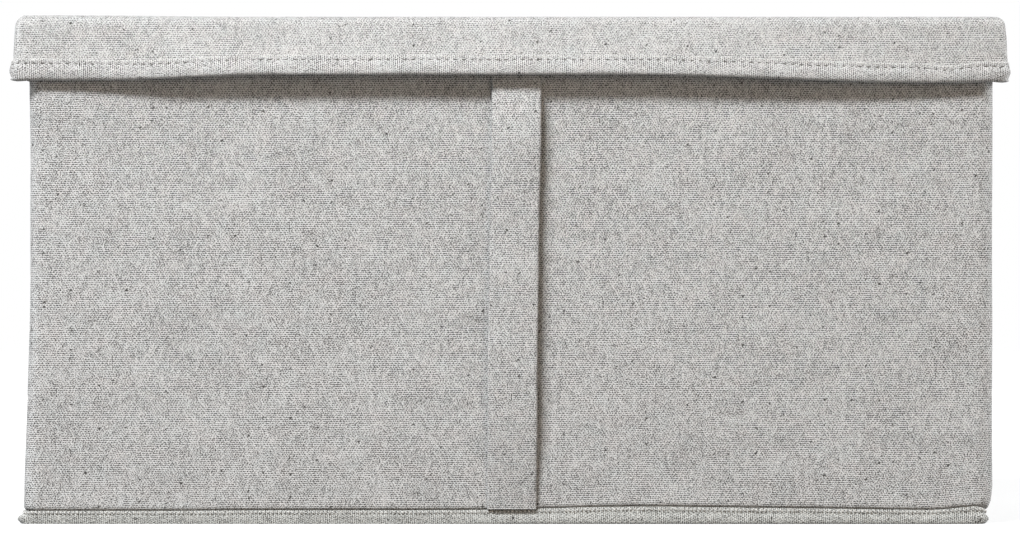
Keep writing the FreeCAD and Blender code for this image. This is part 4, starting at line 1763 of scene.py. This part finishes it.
# ------------------------------------------------------------------ loose base
@dataclass
class LooseBase:
    """Covered board on the bottom with its lifting tab."""

    finishes: Finishes
    turned_under: float = 25.0 * MM
    cloth: float = 0.6 * MM
    tab_cloth: float = 0.9 * MM
    tab_sway: Ripple = Ripple(0.08 * MM, 18 * MM, 2)
    tab_edge: Change = Change(0.25 * MM, 1.6 * MM, 0.0)  # its edges are this much lower
    corner: float = 1.4 * MM
    edge_round: float = 1.3 * MM
    edge_lap: float = 1.35 * MM           # how far the edge's cloth laps on to the board
    rim_step: float = 12 * MM
    panel_points: tuple[int, int] = (42, 31)
    stitch_margin: float = 2.0 * MM
    stitch: StitchRow = StitchRow(2.6 * MM, 2.2 * MM, 0.5 * MM)

    def wrap(self) -> Object:
        """Lining over the board, round its edges and a little way under it.

        Returns:
            The piece.
        """
        low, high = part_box("base_board_cover")

        def corners(inset: float) -> list[tuple[float, float, float]]:
            """Corners of the underside.

            Args:
                inset: How far they are moved in.

            Returns:
                The four corners, in turn.
            """
            left, right, near, back = low.x + inset, high.x - inset, low.y + inset, high.y - inset
            ends = ((left, near), (right, near), (right, back), (left, back))
            return [(x, y, low.z) for x, y in ends]

        rail = rounded_rail((low.x, low.y), (high.x, high.y), self.corner, self.rim_step, True, 4)
        turn = np.linspace(-math.pi / 2, math.pi / 2, 9)
        half = (high.z - low.z) / 2
        edge = -self.edge_round + self.edge_round * np.cos(turn)
        out = np.concatenate([[-self.edge_lap], edge, [-self.corner]])
        up = np.concatenate([[low.z], low.z + half + half * np.sin(turn), [high.z]])
        points = rail.surface(np.tile(out, (len(rail.points), 1)), up)
        cloth = grid_of(rail.full_run(), distance_run(out, up))
        columns, rows = self.panel_points
        grid = grid_of(np.linspace(low.x + self.corner, high.x - self.corner, columns),
                       np.linspace(low.y + self.corner, high.y - self.corner, rows))
        panel = np.insert(grid, 2, high.z, axis=2)
        ring = np.stack([corners(self.edge_lap), corners(self.turned_under)], axis=1)
        ring_cloth = np.concatenate([ring, ring[:1]])[:, :, :2]
        piece = cloth_object("base_board_lining", [
            grid_patch(points, cloth, closed=True), grid_patch(panel, grid),
            grid_patch(ring, ring_cloth, closed=True, flip=True)], weld=0.12 * MM)
        thickened(piece, self.cloth)
        fit(piece, Body.INSERT, self.finishes.lining, ["base_board_cover"])
        return piece

    def tab_piece(self, name: str, node: str, body: Body) -> Object:
        """One stretch of the lifting tab, with soft edges.

        Args:
            name: Name of the piece.
            node: CAD node that it stands for.
            body: Body that it moves with.

        Returns:
            The piece.
        """
        low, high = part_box(node)
        x = np.linspace(low.x, high.x, max(4, round((high.x - low.x) / (2 * MM))))
        y = np.linspace(low.y, high.y, 10)
        grid = grid_of(x, y)
        lift = self.tab_sway.at(grid[:, :, 0], grid[:, :, 1])
        edge = np.minimum(grid[:, :, 1] - low.y, high.y - grid[:, :, 1])
        z = high.z - 0.1 * MM + np.minimum(lift, 0.1 * MM) - self.tab_edge.at(edge)
        points = np.concatenate([grid, z[:, :, None]], axis=2)
        piece = thickened(cloth_object(name, [grid_patch(points, grid)]), self.tab_cloth)
        fit(piece, body, self.finishes.base_tape, [node])
        return piece

    def tab_stitches(self) -> Object:
        """Box of stitches that holds the tab to the board's cover.

        Returns:
            The piece.
        """
        low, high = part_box("tab_sewn_end")
        margin = self.stitch_margin
        x = np.linspace(low.x + margin, high.x - margin, 6)
        y = np.linspace(low.y + margin, high.y - margin, 8)
        grid = np.insert(grid_of(x, y), 2, high.z + 0.05 * MM, axis=2)
        lines = [grid[:, 0], grid[:, -1], grid[0], grid[-1]]
        return self.stitch.sewn("tab_stitches", lines, self.finishes.thread, Body.INSERT, Slot.TAPE)

    def build(self) -> list[Object]:
        """Builds the covered board's cloth and the tab."""
        return [self.wrap(), self.tab_piece("tab_end_tape", "tab_sewn_end", Body.INSERT),
                self.tab_piece("lifting_tab", "base_tab", Body.TAB), self.tab_stitches()]


def dress_boards(finishes: Finishes) -> None:
    """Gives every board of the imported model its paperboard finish.

    Args:
        finishes: Every material that the box is made of.
    """
    for row in frame["record"]["subparts"]:
        if row["material_slot"] == Slot.BOARD.value:
            node = frame["nodes"][row["node"]]
            node.data.materials.clear()
            node.data.materials.append(finishes.board)
            log.info("%s: board finish", row["node"])


# ------------------------------------------------------------------ studio
@dataclass(frozen=True)
class Panel:
    """A rectangular soft light."""

    name: str
    place: tuple[float, float, float]     # from the middle of the box's front, at floor level
    aim: tuple[float, float, float]
    power: float                          # in watts
    size: tuple[float, float]
    tint: str


@dataclass
class Studio:
    """Pale floor, soft lights and the camera straight in front of the box."""

    picture_width: float = 0.5190         # width of the view at the front of the lid
    lens: float = 200.0
    sensor: float = 36.0
    eye_height: float = 129.5 * MM
    sees_to: float = 50.0
    front: float = field(default_factory=lambda: CAD_BOX[0].y)
    aim: tuple[float, float, float] = (0.0, 0.0, 0.13)
    key_distance: float = 2.6
    key_way: tuple[float, float, float] = (-0.56, -1.0, 1.07)
    key_size: tuple[float, float] = (1.1, 0.42)
    key_power: float = 95.5
    key_tint: str = "#F5FAFF"
    side_panels: tuple[tuple[str, float, float], ...] = (
        ("left_panel", -1.0, 7.0), ("right_panel", 1.0, 22.0))
    sky_light: float = 0.10
    sky_tint: str = "#FFFBF8"
    ground_light: float = 0.07
    ground_tint: str = "#FFEFE2"
    floor_reach: float = 6.0
    floor_grey: float = 0.2               # what the paper gives back of the lamps
    floor_near: tuple[float, float] = (0.5, 0.84)       # distance up to which it is this bright
    floor_far: tuple[float, float] = (1.6, 1.0)         # and from which it is white

    def camera(self) -> None:
        """Long lens at the height of the box's middle."""
        lens = bpy.data.cameras.new("view")
        lens.lens = self.lens
        lens.sensor_width = self.sensor
        lens.clip_end = self.sees_to
        eye = added("view", lens)
        distance = self.picture_width * self.lens / self.sensor
        eye.location = (0.0, self.front - distance, self.eye_height)
        eye.rotation_euler = (math.pi / 2, 0.0, 0.0)
        bpy.context.scene.camera = eye

    def panels(self) -> list[Panel]:
        """A wide soft key from the left, above and in front, a warm fill, and light all round.

        Returns:
            The lights.
        """
        key = Vector(self.aim) + Vector(self.key_way).normalized() * self.key_distance
        middle = -self.front              # the box's own middle, from its front
        return [
            Panel("key", tuple(key), self.aim, self.key_power, self.key_size, self.key_tint),
            Panel("warm_fill", (0.6, -1.9, 0.5), self.aim, 6.6, (1.0, 0.9), "#FFE9CC"),
            Panel("back_panel", (-0.7, 2.9, 0.65), (0.0, middle + 0.2, 0.13), 46.0, (1.6, 0.9),
                  self.sky_tint),
            *(Panel(name, (side * 1.5, 0.34, 0.5), (side * 0.25, middle, 0.13), power, (0.7, 0.7),
                    self.key_tint) for name, side, power in self.side_panels)]

    def lights(self) -> None:
        """Hangs the panels."""
        for panel in self.panels():
            data = bpy.data.lights.new(panel.name, "AREA")
            data.shape = "RECTANGLE"
            data.size, data.size_y = panel.size
            data.energy = panel.power
            data.color = linear_colour(panel.tint)[:3]
            light = added(panel.name, data)
            light.location = Vector(panel.place) + Vector((0.0, self.front, 0.0))
            way = Vector(panel.aim) - Vector(panel.place)
            light.rotation_euler = way.to_track_quat("-Z", "Y").to_euler()

    def room(self) -> None:
        """Pale room, brighter overhead; plain white where it is seen or mirrored."""
        world = bpy.data.worlds.new("pale_room")
        world.use_nodes = True
        tree = world.node_tree
        tree.nodes.clear()
        way = add_node(tree, "ShaderNodeTexCoord")
        height = add_node(tree, "ShaderNodeSeparateXYZ", {0: way.outputs["Generated"]})
        light = add_node(tree, "ShaderNodeMapRange", {
            0: height.outputs[2], 1: -0.2, 2: 0.8, 3: self.ground_light, 4: self.sky_light})
        ray = add_node(tree, "ShaderNodeLightPath")
        mirrored = add_node(tree, "ShaderNodeMath", {
            0: ray.outputs["Is Glossy Ray"], 1: ray.outputs["Is Transmission Ray"]},
            operation="MAXIMUM")
        seen = add_node(tree, "ShaderNodeMath",
                        {0: ray.outputs["Is Camera Ray"], 1: mirrored}, operation="MAXIMUM")
        strength = add_node(tree, "ShaderNodeMix", {0: seen, 2: light, 3: 1.0})
        share = add_node(tree, "ShaderNodeMapRange", {0: height.outputs[2], 1: -0.2, 2: 0.5})
        fill = add_node(tree, "ShaderNodeMix", {
            0: share, 6: linear_colour(self.ground_tint), 7: linear_colour(self.sky_tint)},
            data_type="RGBA")
        tint = add_node(tree, "ShaderNodeMix", {
            0: seen, 6: fill.outputs[2], 7: linear_colour("#FFFFFF")}, data_type="RGBA")
        glow = add_node(tree, "ShaderNodeBackground",
                        {"Color": tint.outputs[2], "Strength": strength})
        add_node(tree, "ShaderNodeOutputWorld", {"Surface": glow})
        bpy.context.scene.world = world

    def floor(self) -> None:
        """White sweep that keeps the box's soft shadow and fades into the room's white."""
        reach = self.floor_reach
        corners = [(-reach, -reach, 0.0), (reach, -reach, 0.0), (reach, reach, 0.0),
                   (-reach, reach, 0.0)]
        mesh = bpy.data.meshes.new("floor")
        mesh.from_pydata(corners, [], [(0, 1, 2, 3)])
        material = empty_material("matt_white_paper_sweep")
        tree = material.node_tree
        place = add_node(tree, "ShaderNodeTexCoord")
        distance = add_node(tree, "ShaderNodeVectorMath",
                            {0: place.outputs["Object"]}, operation="LENGTH")
        (near, dimmer), (far, full) = self.floor_near, self.floor_far
        lift = add_node(tree, "ShaderNodeMapRange",
                        {0: distance.outputs[1], 1: near, 2: far, 3: dimmer, 4: full},
                        interpolation_type="SMOOTHSTEP")
        ray = add_node(tree, "ShaderNodeLightPath")
        seen = add_node(tree, "ShaderNodeMath",
                        {0: ray.outputs["Is Camera Ray"], 1: lift}, operation="MULTIPLY")
        grey = self.floor_grey
        paper = add_node(tree, "ShaderNodeBsdfDiffuse", {"Color": (grey, grey, grey, 1.0)})
        glow = add_node(tree, "ShaderNodeEmission",
                        {"Color": linear_colour("#FFFFFF"), "Strength": seen})
        both = add_node(tree, "ShaderNodeAddShader", {0: paper, 1: glow})
        add_node(tree, "ShaderNodeOutputMaterial", {"Surface": both})
        mesh.materials.append(material)
        added("floor", mesh)

    def build(self) -> None:
        """Sets up the whole studio."""
        self.camera()
        self.lights()
        self.room()
        self.floor()
        bpy.context.scene.view_settings.view_transform = "Standard"


def main() -> None:
    """Builds the box piece by piece, then the studio."""
    logging.basicConfig(level=logging.INFO, format="%(name)s: %(message)s")
    finishes = Finishes.made()
    shell = BoxShell(finishes)
    for part in (shell, BaseRidge(finishes, shell), PullStrap(finishes), Lid(finishes),
                 HingeCloth(finishes), LooseBase(finishes)):
        pieces = part.build()
        log.info("%s: %d pieces", type(part).__name__, len(pieces))
    dress_boards(finishes)
    Studio().build()


if __name__ == "__main__":
    main()
